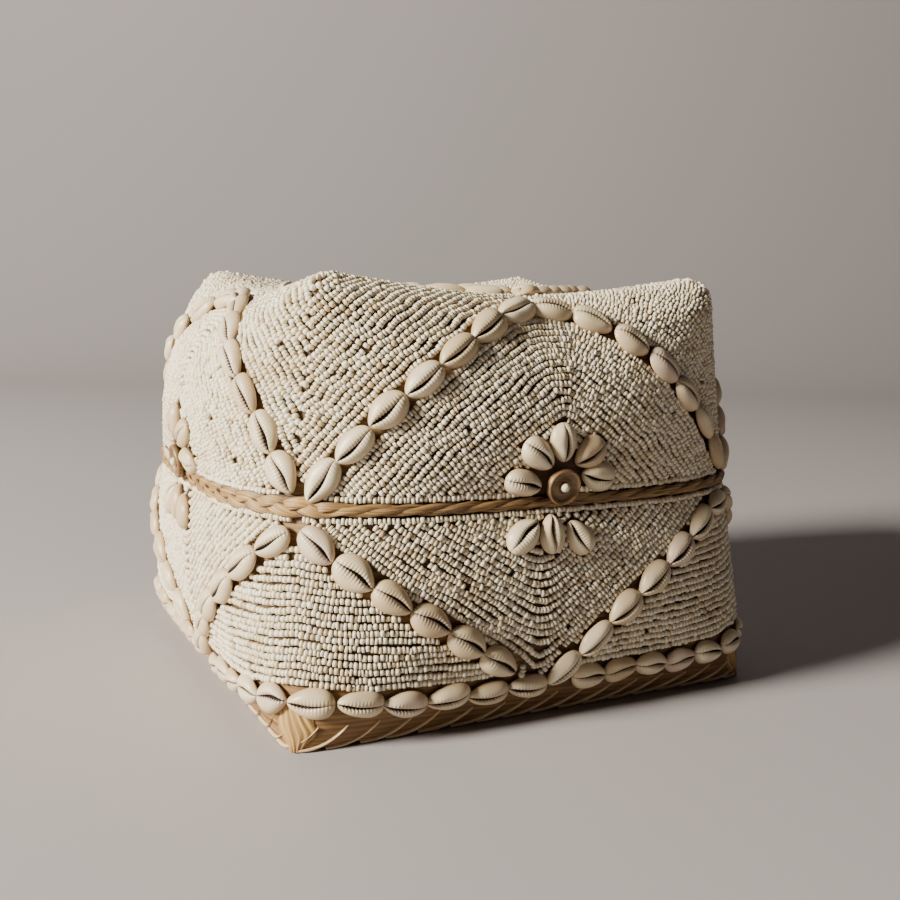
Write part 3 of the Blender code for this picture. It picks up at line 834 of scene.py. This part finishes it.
def shell_piece(name, kind, shells, node, material):
    """Shells laid at their places: centre, direction, normal and length."""
    width, low, top, fill, loose, turned = SHELL_KINDS[kind]
    form, triangles, along, across = SHELL_FORM
    centre, ahead, normal, length = (np.asarray(values, float) for values in shells)
    count = len(centre)
    side = unit(np.cross(normal, ahead))
    centre = centre + side * RNG.normal(0, loose, (count, 1))
    ahead = unit(ahead + side * RNG.normal(0, turned, (count, 1)))
    normal = unit(normal + side * RNG.normal(0, SHELL_ROLL, (count, 1)))
    side = unit(np.cross(normal, ahead))
    normal = np.cross(ahead, side)
    half = length * 0.5 * fill * RNG.uniform(*SHELL_LENGTHS, count)
    wide = width * 0.5 * RNG.uniform(*SHELL_WIDTHS, count)
    tall = (top - low) * RNG.uniform(*SHELL_HEIGHTS, count)
    phase = RNG.uniform(0, math.tau, (count, 1))
    x, y, up = form.T
    lumps = 1 + SHELL_LUMPS * np.sin(4.3 * x + phase) * np.cos(3.1 * y + 2 * phase)
    height = np.where(up > 0, up * tall[:, None] * lumps, up * (low - SHELL_OFF_WALL))
    aside = y * (1 + SHELL_LUMPS * np.sin(2.4 * x + phase))
    axes = (ahead * half[:, None], side * wide[:, None], normal)
    copies = laid_copies(triangles, centre + normal * low, axes, (x, aside, height))
    attributes = (("tint", np.repeat(RNG.uniform(0, 1, count), len(form))),
                  ("along", np.tile(along, count)), ("across", np.tile(across, count)))
    add_piece(name, copies, material, node, attributes)


def build_shells(material):
    count = LID_KNOTS[-1][1]
    for face, name in enumerate(FACES):
        shells = string_shells(lid_surface, garland_share, moved(LID_KNOTS, 2 * face),
                               np.arange(count) < count / 2, GARLAND_PEAK, GARLAND_FACES_LOWER)
        shell_piece(f"lid_cowries_{name}", "string", shells, f"lid_shells_{name}", material)
        left, right = arm_knots(face)
        for label, height_of, knots in (("left", left_arm, left), ("right", right_arm, right)):
            shells = string_shells(base_surface, height_of, knots, True)
            shell_piece(f"base_cowries_{name}_{label}", "string", shells,
                        f"base_shells_{name}_{label}", material)
        flower = petal_places(face)
        for on_lid, part in ((True, "lid"), (False, "base")):
            shells = zip(*((centre, along, normal, PETAL_LENGTH)
                           for on, centre, along, normal in flower if on == on_lid))
            shell_piece(f"{part}_petals_{name}", "flower", shells, f"{part}_flower_{name}",
                        material)
    for corner, name in enumerate(CORNERS):
        before, after = ROW_COUNTS[corner]
        shells = string_shells(base_surface, row_height, row_knots(corner),
                               np.arange(before + after) >= before)
        shell_piece(f"bottom_cowries_{name}", "row", shells, f"bottom_shells_{name}", material)
        shells = string_shells(lid_surface, diamond_share, moved(TOP_KNOTS, 2 * corner), False)
        shell_piece(f"top_cowries_{name}", "string", shells, f"top_shells_{name}", material)


# Plait around the joint: a twisted rope on the front and the right, and flat on the others

PLAIT_STRANDS = 3
PLAIT_PERIOD = 0.037
PLAIT_OUT = 0.0021
# Each pair is for the rope and for the flat plait
PLAIT_SWING = (0.0011, 0.0019)
PLAIT_DEPTH = (0.0009, 0.0010)
PLAIT_DROP = (0.0003, 0.0)
STRAND_WIDTH = (0.0027, 0.0046)
STRAND_THICKNESS = (0.0021, 0.0014)
STRAND_SHADE = (0.15, 0.5)   # how much darker a strand is where it lies behind
STRAND_SIDES = 16
STRAND_GROOVES = 4
GROOVE_SHARE = 0.12
STRAND_EDGE_SHADE = 0.95        # painted shade: how much darker a flat strand's edges are, for the shade between strands
STRAND_UNEVEN = 0.12      # how unevenly a strand rises and falls
STRAND_TONE_VARIES = 0.07
GROOVE_TURN = 0.030       # the grooves of a strand wind around it once in this length
STEPS_PER_PERIOD = 26


def soft_step(value):
    value = np.clip(value, 0, 1)
    return value * value * (3 - 2 * value)


def flat_share(u):
    """1 where the strip is a flat plait, and 0 where it is a rope."""
    return 1 - soft_step((u + 0.92) / 0.16) + soft_step((u - 2.9) / 0.2)


def straw_tone_and_light(u):
    """1 for golden straw and 0 for dark brown. Partly the straw's own colour and partly painted
    light and shade: golden on the lit left face and near corner, darker across the front, and
    lifted towards the front right corner, where the rope lies in shade.
    """
    return np.interp(u, (-1, -0.8, -0.35, 0.1, 1.0, 2.9, 3.3, 7.0),
                     (1, 0.82, 0.60, 0.66, 0.80, 0.7, 0.8, 1.0))


def bamboo_gold_and_light(u):
    """How golden the bamboo is: more so around the near corner and on the left. Partly its own
    colour and partly painted light on the near corner and left face, where the key light falls.
    """
    return np.interp(u, (-1, -0.8, -0.35, 0.1, 2.9, 3.3, 7.0),
                     (0.45, 0.38, 0.25, 0.14, 0.15, 0.3, 0.45))


def build_plait(material):
    """Three strands that wind around each other along the lid's lower edge, in a loop that
    starts and ends at the back."""
    spots = np.linspace(3, 11, 2401)
    run = run_along(lid_surface(spots, 0))
    whole = run[-1]
    periods = 3 * round(whole / PLAIT_PERIOD / 3)  # so that the slow waves close too
    windings = round(whole / GROOVE_TURN)
    length = np.linspace(0, whole, periods * STEPS_PER_PERIOD, endpoint=False)
    u = (np.interp(length, run, spots) + 1) % 8 - 1
    flat = flat_share(u)
    swing, depth, drop, width, thickness = (
        between(rope, plait, flat) for rope, plait in
        (PLAIT_SWING, PLAIT_DEPTH, PLAIT_DROP, STRAND_WIDTH, STRAND_THICKNESS))
    middle = lid_surface(u, 0)
    middle[:, 2] -= drop
    normal = normals_at(lid_surface, u, 0)
    turn = -math.pi + np.arange(STRAND_SIDES) * math.tau / STRAND_SIDES
    points, triangles, values = [], [], []
    for strand in range(PLAIT_STRANDS):
        phase = math.tau * (length / whole * periods + strand / PLAIT_STRANDS)
        slow = phase * 2 / 3
        rise = swing * np.sin(phase + STRAND_UNEVEN * np.sin(slow + strand * 2.1))
        forward = between(np.cos(phase), np.sin(2 * phase), flat)
        out = PLAIT_OUT + depth * forward
        path = middle + normal * out[:, None] + rise[:, None] * UP
        ahead = unit(np.roll(path, -1, 0) - np.roll(path, 1, 0))
        side = unit(np.cross(normal, ahead))
        face_out = np.cross(ahead, side)
        winding = (math.tau * windings * length / whole + strand)[:, None]
        groove = 1 + GROOVE_SHARE * np.cos(STRAND_GROOVES * (turn + winding / 4))
        ring = (side[:, None] * (np.sin(turn) * groove * width[:, None] / 2)[..., None]
                + face_out[:, None] * (np.cos(turn) * groove * thickness[:, None] / 2)[..., None])
        strand_points, strand_triangles = joined_rings(path[:, None] + ring, closed=True)
        points.append(strand_points)
        triangles.append(strand_triangles + strand * len(strand_points))
        tone = straw_tone_and_light(u) + STRAND_TONE_VARIES * np.sin(slow + 2.3 * strand)
        # painted shade: darker where a strand lies behind the others, and along a flat strand's
        # edges
        tone = tone - between(*STRAND_SHADE, flat) * (1 - soft_step((forward + 0.9) / 1.2))
        tone = tone[:, None] - STRAND_EDGE_SHADE * flat[:, None] * np.abs(np.sin(turn)) ** 8
        around = turn / math.pi + winding / math.tau + 5 * strand
        values.append((np.repeat(length, STRAND_SIDES), around.ravel(), tone.ravel()))
    attributes = zip(("along", "around", "tone"), (np.concatenate(v) for v in zip(*values)))
    form = np.concatenate(points), np.concatenate(triangles)
    add_piece("plait", form, material, "rim_braid", attributes)


# Bamboo

RING_STEPS = 360
OUTER_HEIGHTS = np.linspace(0.004, 0.084, 41)
INNER_HEIGHTS = (0.078, 0.060, 0.045, 0.030, 0.015)
WOVEN_EDGE = 40           # degrees from which an edge is sharp
STRIP_EDGE = 60
NEAR_STRING = 0.0068      # beside a string the bamboo shows, and farther off it gets the painted shade of the beads over it
NEAR_STRING_SOFT = 0.002  # width over which the one goes over into the other
# share of that painted shade which the bamboo keeps beside a string
SHADE_NEAR_STRING = 0.10
BARE_ABOVE_ROW = 0.001
FOOT_STRIPS = 66
STRIP_RUN = 0.0235
STRIP_TOP = 0.0088
STRIP_WIDTH = 0.0012
STRIP_THICKNESS = 0.0007
STRIP_TAPER = 0.8         # share of its width that a strip has lost at its end
STRIP_BEND = 2.5
STRIP_LOW = 0.0006
STRIP_SUNK = 0.0002
STRIP_SEAT = 0.0003       # the strips' edges above the bamboo, and the fold's
STRIP_SHIFT = 0.0007
STRIP_TOPS = (0.85, 1.1)
STRIP_WIDTHS = (0.8, 1.15)
FOLD_HALF = 0.105         # half the width in u of the straw folded around a corner of the foot
FOLD_HEIGHT = 0.0180
FOLD_STAND = 0.0012       # how far it stands out from the corner
FOLD_THICKNESS = 0.0012
FOLD_RIB = 0.00028
FOLD_RIBS = 5
FOLD_SLANT = 0.45
FOLD_GRAIN = 0.012
FOLD_GOLD = 0.95
PALE = 2.0                # golden above 1 is pale straw
FLOOR_CLEAR = 0.0002


def ring_columns():
    return np.linspace(-1, 7, RING_STEPS, endpoint=False)


def base_ring(z, out, level=False, lift=0.0):
    u = ring_columns()
    ring = place(base_surface, u, z, out)
    if level:
        ring[:, 2] = z
    ring[:, 2] += lift
    return ring


def painted_bead_shade(points, lines, outside):
    """Painted shade of the beads on the bamboo: 1 where beads cover it, less beside the strings,
    and 0 where it is bare.
    """
    near = np.min([distance_to(points, line) for line in lines], axis=0)
    covered = soft_step((near - NEAR_STRING) / NEAR_STRING_SOFT + 0.5)
    return outside * between(SHADE_NEAR_STRING, 1, covered)


def build_base(material):
    """The base's rings, from the middle of the underside round to the middle of the floor."""
    rim = JOINT_Z - GAP
    rings = [base_ring(0.0, -FOOT_BEVEL, True), base_ring(FOOT_BEVEL, 0.0, True)]
    rings += [base_ring(z, 0.0) for z in OUTER_HEIGHTS]
    rings.append(base_ring(rim, 0.0, True))
    outside = len(rings)
    rings += [base_ring(rim, -LIP_INSET, True), base_ring(rim, -LIP_INSET, True, LIP_HEIGHT),
              base_ring(rim, -LIP_INSET - LIP, True, LIP_HEIGHT),
              base_ring(rim - BAND_DEPTH, -LIP_INSET - LIP, True)]
    rings += [base_ring(z, -WALL) for z in INNER_HEIGHTS]
    rings.append(base_ring(FLOOR, -WALL, True))
    points, triangles = joined_rings(rings)
    u = np.append(np.tile(ring_columns(), len(rings)), (0, 0))
    z = points[:, 2]
    shown = np.arange(len(points)) < outside * RING_STEPS
    beaded = shown & (z > row_height(u) + BEADS_OVER_ROW - BARE_ABOVE_ROW)
    attributes = (("covered", painted_bead_shade(points, LEFT_LINES + RIGHT_LINES, beaded)),
                  ("grain", np.where(z < FOOT_BEVEL / 2, points[:, 0], z)),
                  ("golden", bamboo_gold_and_light(u)))
    add_piece("woven_base", (points, triangles), material, "base_basket", attributes,
              WOVEN_EDGE)


def build_lid(material):
    """The lid's rings, from the middle of its inside round to the middle of its top."""
    u = ring_columns()
    heights = np.concatenate((np.linspace(0.02, 1 - SHOULDER_DOWN, 24),
                              np.linspace(0.90, 1.12, 9), np.linspace(1.2, 1.97, 12)))
    inner = [place(lid_surface, u, v, -WALL) for v in heights[::-3]]
    edge = [place(lid_surface, u, lid_share(JOINT_Z, u), out) for out in (-WALL, 0.0)]
    for ring in edge:
        ring[:, 2] = JOINT_Z + GAP
    outer = [place(lid_surface, u, v, 0.0) for v in heights]
    rings = inner + edge + outer
    points, triangles = joined_rings(rings)
    number = np.arange(len(points))
    beaded = (number >= (len(inner) + 1) * RING_STEPS) & (number != len(points) - 2)
    attributes = (("covered", painted_bead_shade(points, LID_LINES + TOP_LINES, beaded)),
                  ("grain", points[:, 2]),
                  ("golden", bamboo_gold_and_light(np.append(np.tile(u, len(rings)), (0, 0)))))
    add_piece("woven_lid", (points, triangles), material, "lid", attributes,
              WOVEN_EDGE)


def sheet(outer, inner):
    """A closed sheet between two grids of points, rows from the foot upwards."""
    rows, columns = outer.shape[:2]
    points = np.concatenate((outer.reshape(-1, 3), inner.reshape(-1, 3)))
    points[:, 2] = np.maximum(points[:, 2], FLOOR_CLEAR)
    number = np.arange(rows * columns).reshape(rows, columns)
    a, b = number[:-1, :-1], number[:-1, 1:]
    c, d = number[1:, 1:], number[1:, :-1]
    front = np.concatenate((np.stack((a, b, c), -1).reshape(-1, 3),
                            np.stack((a, c, d), -1).reshape(-1, 3)))
    edge = np.concatenate((number[0, :-1], number[:-1, -1], number[-1, :0:-1], number[:0:-1, 0]))
    onward = np.roll(edge, -1)
    shift = rows * columns
    sides = np.concatenate((np.stack((edge, edge + shift, onward + shift), -1),
                            np.stack((edge, onward + shift, onward), -1)))
    return points, np.concatenate((front, front[:, ::-1] + shift, sides))


def corner_fold(corner):
    """Straw folded around a corner of the foot: its sheet, and the place across its fibres."""
    share = np.linspace(0, 1, 15)[:, None]
    across = np.linspace(0, 1, 41)[None]
    wide = 0.3 + 0.7 * soft_step(share / 0.45) - 0.25 * soft_step((share - 0.4) / 0.6)
    half = FOLD_HALF * wide
    z = FOLD_HEIGHT * share
    edge = 2 * corner + 1.0
    left, right = (place(base_surface, edge + side * half, z, STRIP_SEAT) for side in (-1, 1))
    inside = (left + right) / 2
    tip = base_surface(edge, z)
    outward = unit(tip - inside)
    handle = 2 * (tip + FOLD_STAND * outward) - inside
    t = across[..., None]
    bent = (1 - t) ** 2 * left + 2 * t * (1 - t) * handle + t**2 * right
    fibre = across + FOLD_SLANT * share
    rib = FOLD_RIB * np.cos(math.tau * FOLD_RIBS * fibre) * np.sin(math.pi * across) ** 0.5
    outer = bent + rib[..., None] * outward
    return sheet(outer, outer - FOLD_THICKNESS * outward), fibre * FOLD_GRAIN


def build_foot(material):
    """Thin strips that bind the foot, and the straw folded around its corners."""
    spots = np.linspace(-1, 7, 1601)
    run = run_along(base_surface(spots, 0))
    share = np.linspace(0, 1, 13)[None]
    across = np.linspace(-1, 1, 4)[:, None]
    forms = []
    for start in np.arange(FOOT_STRIPS) * run[-1] / FOOT_STRIPS:
        begin = start + RNG.normal(0, STRIP_SHIFT)
        top = STRIP_TOP * RNG.uniform(*STRIP_TOPS)
        width = STRIP_WIDTH * (1 - STRIP_TAPER * share**3) * RNG.uniform(*STRIP_WIDTHS)
        z = STRIP_LOW + top * share**STRIP_BEND + across * width / 2
        u = np.interp((begin + STRIP_RUN * share) % run[-1], run, spots) + 0 * z
        out = STRIP_SEAT + STRIP_THICKNESS * (1 - 0.5 * across**2) + 0 * z
        outer, inner = (place(base_surface, u, np.maximum(z, 0.0), depth)
                        for depth in (out, out - STRIP_THICKNESS - STRIP_SUNK))
        forms.append((*sheet(outer, inner), across * width + start, PALE))
    for corner in range(4):
        form, fibre = corner_fold(corner)
        forms.append((*form, fibre, FOLD_GOLD))
    firsts = np.cumsum([0] + [len(form[0]) for form in forms])
    points = np.concatenate([form[0] for form in forms])
    triangles = np.concatenate([form[1] + first for form, first in zip(forms, firsts)])
    grain = np.concatenate([np.tile(form[2].ravel(), 2) for form in forms])
    golden = np.concatenate([np.full(len(form[0]), form[3]) for form in forms])
    add_piece("foot_strips", (points, triangles), material, "base_basket",
              (("grain", grain), ("golden", golden)), STRIP_EDGE)


# Buttons

BUTTON_PROFILE = ((0.0, 0.46), (0.22, 0.46), (0.32, 0.50), (0.37, 0.62), (0.43, 0.60),
                  (0.48, 0.48), (0.62, 0.46), (0.72, 0.50), (0.78, 0.70), (0.85, 0.94),
                  (0.92, 1.0), (0.98, 0.88), (1.0, 0.62), (1.0, 0.2), (0.93, 0.0), (0.0, 0.0))
BUTTON_EDGE = 50          # degrees from which an edge is sharp
WHITE_BEAD_SEAT = 0.40    # of the button's thickness
WHITE_BEAD_FLAT = 0.8


def lathe(here, profile, sides=40):
    """A round form from pairs of radius and height, from the middle of its face inwards."""
    point, normal, across, up = here
    turn = np.arange(sides) * math.tau / sides
    around = across[None] * np.cos(turn)[:, None] + up[None] * np.sin(turn)[:, None]
    rings = [point + normal * height + around * radius for radius, height in profile[-2:0:-1]]
    return joined_rings(rings, [point + normal * profile[k][1] for k in (-1, 0)])


def build_buttons(wood, glass):
    for face, name in enumerate(FACES):
        u = 2 * face + BUTTON_U
        here = wall_frame(lid_surface, u, lid_share(BUTTON_Z, u))
        form = lathe(here, [(r * BUTTON_RADIUS, BUTTON_STANDOFF + h * BUTTON_THICKNESS)
                            for r, h in BUTTON_PROFILE])
        height = ((form[0] - here[0]) @ here[1] - BUTTON_STANDOFF) / BUTTON_THICKNESS
        add_piece(f"wooden_button_{name}", form, wood, f"button_{name}",
                  (("height", height),), BUTTON_EDGE)
        low = BUTTON_STANDOFF + BUTTON_THICKNESS * WHITE_BEAD_SEAT
        form = lathe(here, [(BUTTON_BEAD * math.sin(t),
                             low + BUTTON_BEAD * (1 + math.cos(t)) * WHITE_BEAD_FLAT)
                            for t in np.linspace(0, math.pi, 9)], 24)
        add_piece(f"white_bead_{name}", form, glass, f"button_bead_{name}",
                  (("tint", np.full(len(form[0]), 0.5)),))


# Materials

class Nodes:
    """Adds nodes to a material and links them."""

    def __init__(self, name):
        self.material = bpy.data.materials.new(name)
        self.material.use_nodes = True
        self.tree = self.material.node_tree
        self.shader = self.tree.nodes["Principled BSDF"]

    def add(self, kind, links=(), **settings):
        node = self.tree.nodes.new(kind)
        for key, value in settings.items():
            setattr(node, key, value)
        for socket, value in links:
            self.join(value, node.inputs[socket])
        return node

    def join(self, value, socket):
        if isinstance(value, bpy.types.NodeSocket):
            self.tree.links.new(value, socket)
        else:
            socket.default_value = value

    def attribute(self, label):
        return self.add("ShaderNodeAttribute", attribute_name=label).outputs["Fac"]

    def place(self):
        return self.add("ShaderNodeTexCoord").outputs["Object"]

    def vector(self, x, y=0.0):
        return self.add("ShaderNodeCombineXYZ", [("X", x), ("Y", y)]).outputs["Vector"]

    def noise(self, scale, detail, vector=None):
        if vector is None:
            vector = self.place()
        links = [("Scale", scale), ("Detail", detail), ("Vector", vector)]
        return self.add("ShaderNodeTexNoise", links).outputs["Fac"]

    def math(self, operation, a, b=0.0, kind="Math"):
        return self.add(f"ShaderNode{kind}", [(0, a), (1, b)], operation=operation).outputs[0]

    def times(self, a, b):
        return self.math("MULTIPLY", a, b)

    def plus(self, a, b):
        return self.math("ADD", a, b)

    def minus(self, a, b):
        return self.math("SUBTRACT", a, b)

    def ramp(self, value, *stops):
        node = self.add("ShaderNodeValToRGB", [("Fac", value)])
        elements = node.color_ramp.elements
        for k, (position, colour) in enumerate(stops):
            stop = elements[k] if k < 2 else elements.new(position)
            stop.position = position
            stop.color = (*colour, 1)
        return node.outputs["Color"]

    def rise(self, value, low, high):
        return self.ramp(value, (low, (0, 0, 0)), (high, (1, 1, 1)))

    def fall(self, value, low, high):
        return self.ramp(value, (low, (1, 1, 1)), (high, (0, 0, 0)))

    def mix(self, share, a, b, blend="MIX"):
        node = self.add("ShaderNodeMix", data_type="RGBA", blend_type=blend)
        self.join(share, node.inputs["Factor"])
        self.join(a, node.inputs["A"])
        self.join((*b, 1) if isinstance(b, tuple) else b, node.inputs["B"])
        return [output for output in node.outputs if output.type == "RGBA"][0]

    def bump(self, height, distance, strength):
        links = [("Height", height), ("Distance", distance), ("Strength", strength)]
        self.join(self.add("ShaderNodeBump", links).outputs["Normal"], self.shader.inputs["Normal"])

    def finish(self, colour, roughness):
        self.join(colour, self.shader.inputs["Base Color"])
        self.join(roughness, self.shader.inputs["Roughness"])
        return self.material


def bead_material():
    made = Nodes("ivory_beads")
    tint = made.attribute("tint")
    colour = made.ramp(tint, (0.0, (0.48, 0.35, 0.21)), (0.03, (0.68, 0.54, 0.36)),
                       (0.12, (0.77, 0.67, 0.47)), (0.45, (0.82, 0.73, 0.54)),
                       (0.75, (0.86, 0.78, 0.61)), (0.93, (0.85, 0.79, 0.65)),
                       (0.965, (0.79, 0.68, 0.56)), (1.0, (0.66, 0.62, 0.54)))
    stain = made.times(made.minus(made.noise(38.0, 4.0), 0.45), 1.1)
    colour = made.mix(stain, colour, (0.60, 0.46, 0.28), "MULTIPLY")
    return made.finish(colour, 0.34)


def shell_material():
    made = Nodes("cowrie")
    tint, along, across = map(made.attribute, ("tint", "along", "across"))
    base = made.ramp(tint, (0.0, (0.54, 0.41, 0.23)), (0.15, (0.65, 0.53, 0.33)),
                     (0.45, (0.73, 0.62, 0.40)), (0.75, (0.80, 0.70, 0.48)),
                     (0.90, (0.71, 0.58, 0.41)), (1.0, (0.63, 0.50, 0.38)))
    cloud = made.rise(made.noise(130.0, 3.0), 0.42, 0.72)
    base = made.mix(made.times(cloud, 0.60), base, (0.62, 0.46, 0.27))
    rosy = made.rise(made.noise(75.0, 2.0), 0.50, 0.68)
    base = made.mix(made.times(rosy, 0.28), base, (0.50, 0.345, 0.29))
    distance = made.math("ABSOLUTE", across)
    margin = made.rise(distance, 0.60, 1.0)
    base = made.mix(made.times(margin, 0.70), base, (0.47, 0.32, 0.18))
    pointed = made.times(made.plus(along, 1.0), 0.5)
    ribs = made.plus(made.times(made.math("SINE", made.times(along, 42.0)), 0.5), 0.5)
    toothy = made.times(made.math("FRACT", made.times(tint, 7.3)), 0.105)
    toothed = made.minus(distance, made.times(made.times(ribs, pointed), toothy))
    shade = made.fall(toothed, 0.08, 0.34)
    base = made.mix(made.times(shade, 0.40), base, (0.40, 0.29, 0.25))
    # painted shade: the slit is nearly black, for the shade inside the shell
    slit = made.fall(toothed, 0.075, 0.115)
    colour = made.mix(slit, base, (0.022, 0.013, 0.010))
    lips = made.fall(distance, 0.10, 0.60)
    lips = made.times(lips, made.plus(made.times(toothy, 9.0), 0.3))
    made.bump(made.times(ribs, lips), 0.00028, 0.9)
    return made.finish(colour, 0.40)


def straw_material():
    made = Nodes("plaited_straw")
    # the plait's tone holds painted shade and light besides the straw's own tone
    along, around, tone = map(made.attribute, ("along", "around", "tone"))
    fibres = made.noise(1.0, 5.0, made.vector(made.times(along, 50.0), made.times(around, 8.0)))
    patches = made.noise(70.0, 3.0)
    share = made.plus(made.times(tone, 0.62), made.times(fibres, 1.5))
    share = made.plus(share, made.times(patches, 0.35))
    colour = made.ramp(made.minus(share, 0.82), (0.0, (0.022, 0.010, 0.004)),
                       (0.25, (0.115, 0.060, 0.027)), (0.5, (0.26, 0.148, 0.062)),
                       (0.75, (0.40, 0.238, 0.074)), (1.0, (0.56, 0.37, 0.112)))
    made.bump(fibres, 0.0009, 1.0)
    return made.finish(colour, 0.46)


def bamboo_material():
    made = Nodes("bamboo")
    covered, grain, golden = map(made.attribute, ("covered", "grain", "golden"))
    wide = made.math("MULTIPLY", made.place(), (30.0, 30.0, 30.0), "VectorMath")
    spot = made.math("ADD", made.vector(made.times(grain, 900.0)), wide, "VectorMath")
    fibres = made.noise(1.0, 4.0, spot)
    patches = made.noise(45.0, 4.0)
    worn = made.plus(made.times(fibres, 0.5), made.times(patches, 0.5))
    brown = made.ramp(worn, (0.34, (0.055, 0.026, 0.012)), (0.5, (0.125, 0.062, 0.027)),
                      (0.66, (0.24, 0.130, 0.058)))
    gold = made.ramp(fibres, (0.30, (0.17, 0.080, 0.026)), (0.5, (0.39, 0.230, 0.080)),
                     (0.70, (0.60, 0.40, 0.150)))
    # the gold is partly the bamboo's own colour and partly painted light on its lit near corner and
    # left face
    colour = made.mix(made.math("MINIMUM", golden, 1.0), brown, gold)
    pale = made.math("MAXIMUM", made.minus(golden, 1.0), 0.0)
    colour = made.mix(pale, colour, (0.60, 0.44, 0.25))
    # painted shade: where beads cover the bamboo it is dark brown, for the shade between and under
    # them
    colour = made.mix(covered, colour, (0.11, 0.062, 0.028))
    made.bump(fibres, 0.0004, 0.6)
    made.shader.inputs["Specular IOR Level"].default_value = 0.3
    return made.finish(colour, 0.58)


def wood_material():
    made = Nodes("button_wood")
    stretched = made.math("MULTIPLY", made.place(), (150.0, 150.0, 900.0), "VectorMath")
    grain = made.noise(1.0, 5.0, stretched)
    colour = made.ramp(grain, (0.3, (0.13, 0.072, 0.026)), (0.7, (0.26, 0.160, 0.064)))
    rim = made.rise(made.attribute("height"), 0.55, 0.95)
    colour = made.mix(made.times(rim, 0.75), colour, (0.29, 0.165, 0.080))
    made.bump(grain, 0.0002, 0.4)
    return made.finish(colour, 0.38)


# Studio

KEY_AT = (-2.70, -0.15, 1.29)
KEY_AIM = (0.0, 0.0, 0.09)
KEY_SIZE = 0.80
KEY_POWER = 304.0
KEY_COLOUR = (1.0, 0.945, 0.83)
AROUND_COLOUR = (0.94, 0.84, 0.96)
AROUND_STRENGTH = 0.027
FLOOR_COLOUR = (0.39, 0.361, 0.366)
FLOOR_ROUGHNESS = 0.6
FLOOR_BEFORE = -5.0       # the floor's near edge
BACKDROP_BEHIND = 1.3     # from the basket to where the floor starts to curve up
BACKDROP_RADIUS = 1.2
BACKDROP_HEIGHT = 4.0
BACKDROP_HALF_WIDTH = 7.0


def put(thing, axes, at):
    """Adds an object to the scene, with its own axes along three directions."""
    matrix = Matrix(np.stack(axes, 1).tolist()).to_4x4()
    matrix.translation = at
    thing.matrix_world = matrix
    bpy.context.scene.collection.objects.link(thing)


def build_camera():
    yaw, pitch, roll = CAMERA_YAW, CAMERA_PITCH, CAMERA_ROLL
    ahead = np.array((math.sin(yaw) * math.cos(pitch), math.cos(yaw) * math.cos(pitch),
                      math.sin(pitch)))
    level = np.array((math.cos(yaw), -math.sin(yaw), 0.0))
    upright = np.cross(level, ahead)
    right = math.cos(roll) * level + math.sin(roll) * upright
    up = -math.sin(roll) * level + math.cos(roll) * upright
    data = bpy.data.cameras.new("camera")
    data.sensor_width = SENSOR
    data.lens = LENS
    data.clip_start = 0.01
    camera = bpy.data.objects.new("camera", data)
    put(camera, (right, up, -ahead), CAMERA_AT)
    bpy.context.scene.camera = camera


def build_floor():
    """A pale floor that curves up behind the basket, square to the camera."""
    ahead = np.array((math.sin(CAMERA_YAW), math.cos(CAMERA_YAW), 0.0))
    aside = np.array((ahead[1], -ahead[0], 0.0)) * BACKDROP_HALF_WIDTH
    turn = np.linspace(0, math.pi / 2, 25)
    far = BACKDROP_BEHIND + BACKDROP_RADIUS * np.sin(turn)
    far = np.concatenate(([FLOOR_BEFORE], far, far[-1:]))
    high = BACKDROP_RADIUS * (1 - np.cos(turn)) - FLOOR_CLEAR
    high = np.concatenate((high[:1], high, [BACKDROP_HEIGHT]))
    middle = ahead * far[:, None] + UP * high[:, None]
    k = np.arange(len(far) - 1)
    n = k + len(far)
    triangles = np.concatenate((np.stack((k, n, n + 1), -1), np.stack((k, n + 1, k + 1), -1)))
    material = Nodes("studio_floor").finish((*FLOOR_COLOUR, 1), FLOOR_ROUGHNESS)
    points = np.concatenate((middle - aside, middle + aside))
    mesh_object("studio_floor", points, triangles, material)


def build_light():
    """One large soft light from the left, and a weak even light from all around."""
    data = bpy.data.lights.new("key", "AREA")
    data.shape = "DISK"
    data.size = KEY_SIZE
    data.energy = KEY_POWER
    data.color = KEY_COLOUR
    back = unit(np.subtract(KEY_AT, KEY_AIM))
    side = unit(np.cross(UP, back))
    put(bpy.data.objects.new("key", data), (side, np.cross(back, side), back), KEY_AT)
    world = bpy.data.worlds.new("studio")
    world.use_nodes = True
    background = world.node_tree.nodes["Background"]
    background.inputs["Color"].default_value = (*AROUND_COLOUR, 1)
    background.inputs["Strength"].default_value = AROUND_STRENGTH
    bpy.context.scene.world = world


beads = bead_material()
build_camera()
build_beads(beads)
build_shells(shell_material())
build_plait(straw_material())
bamboo = bamboo_material()
build_base(bamboo)
build_lid(bamboo)
build_foot(bamboo)
build_buttons(wood_material(), beads)
build_floor()
build_light()
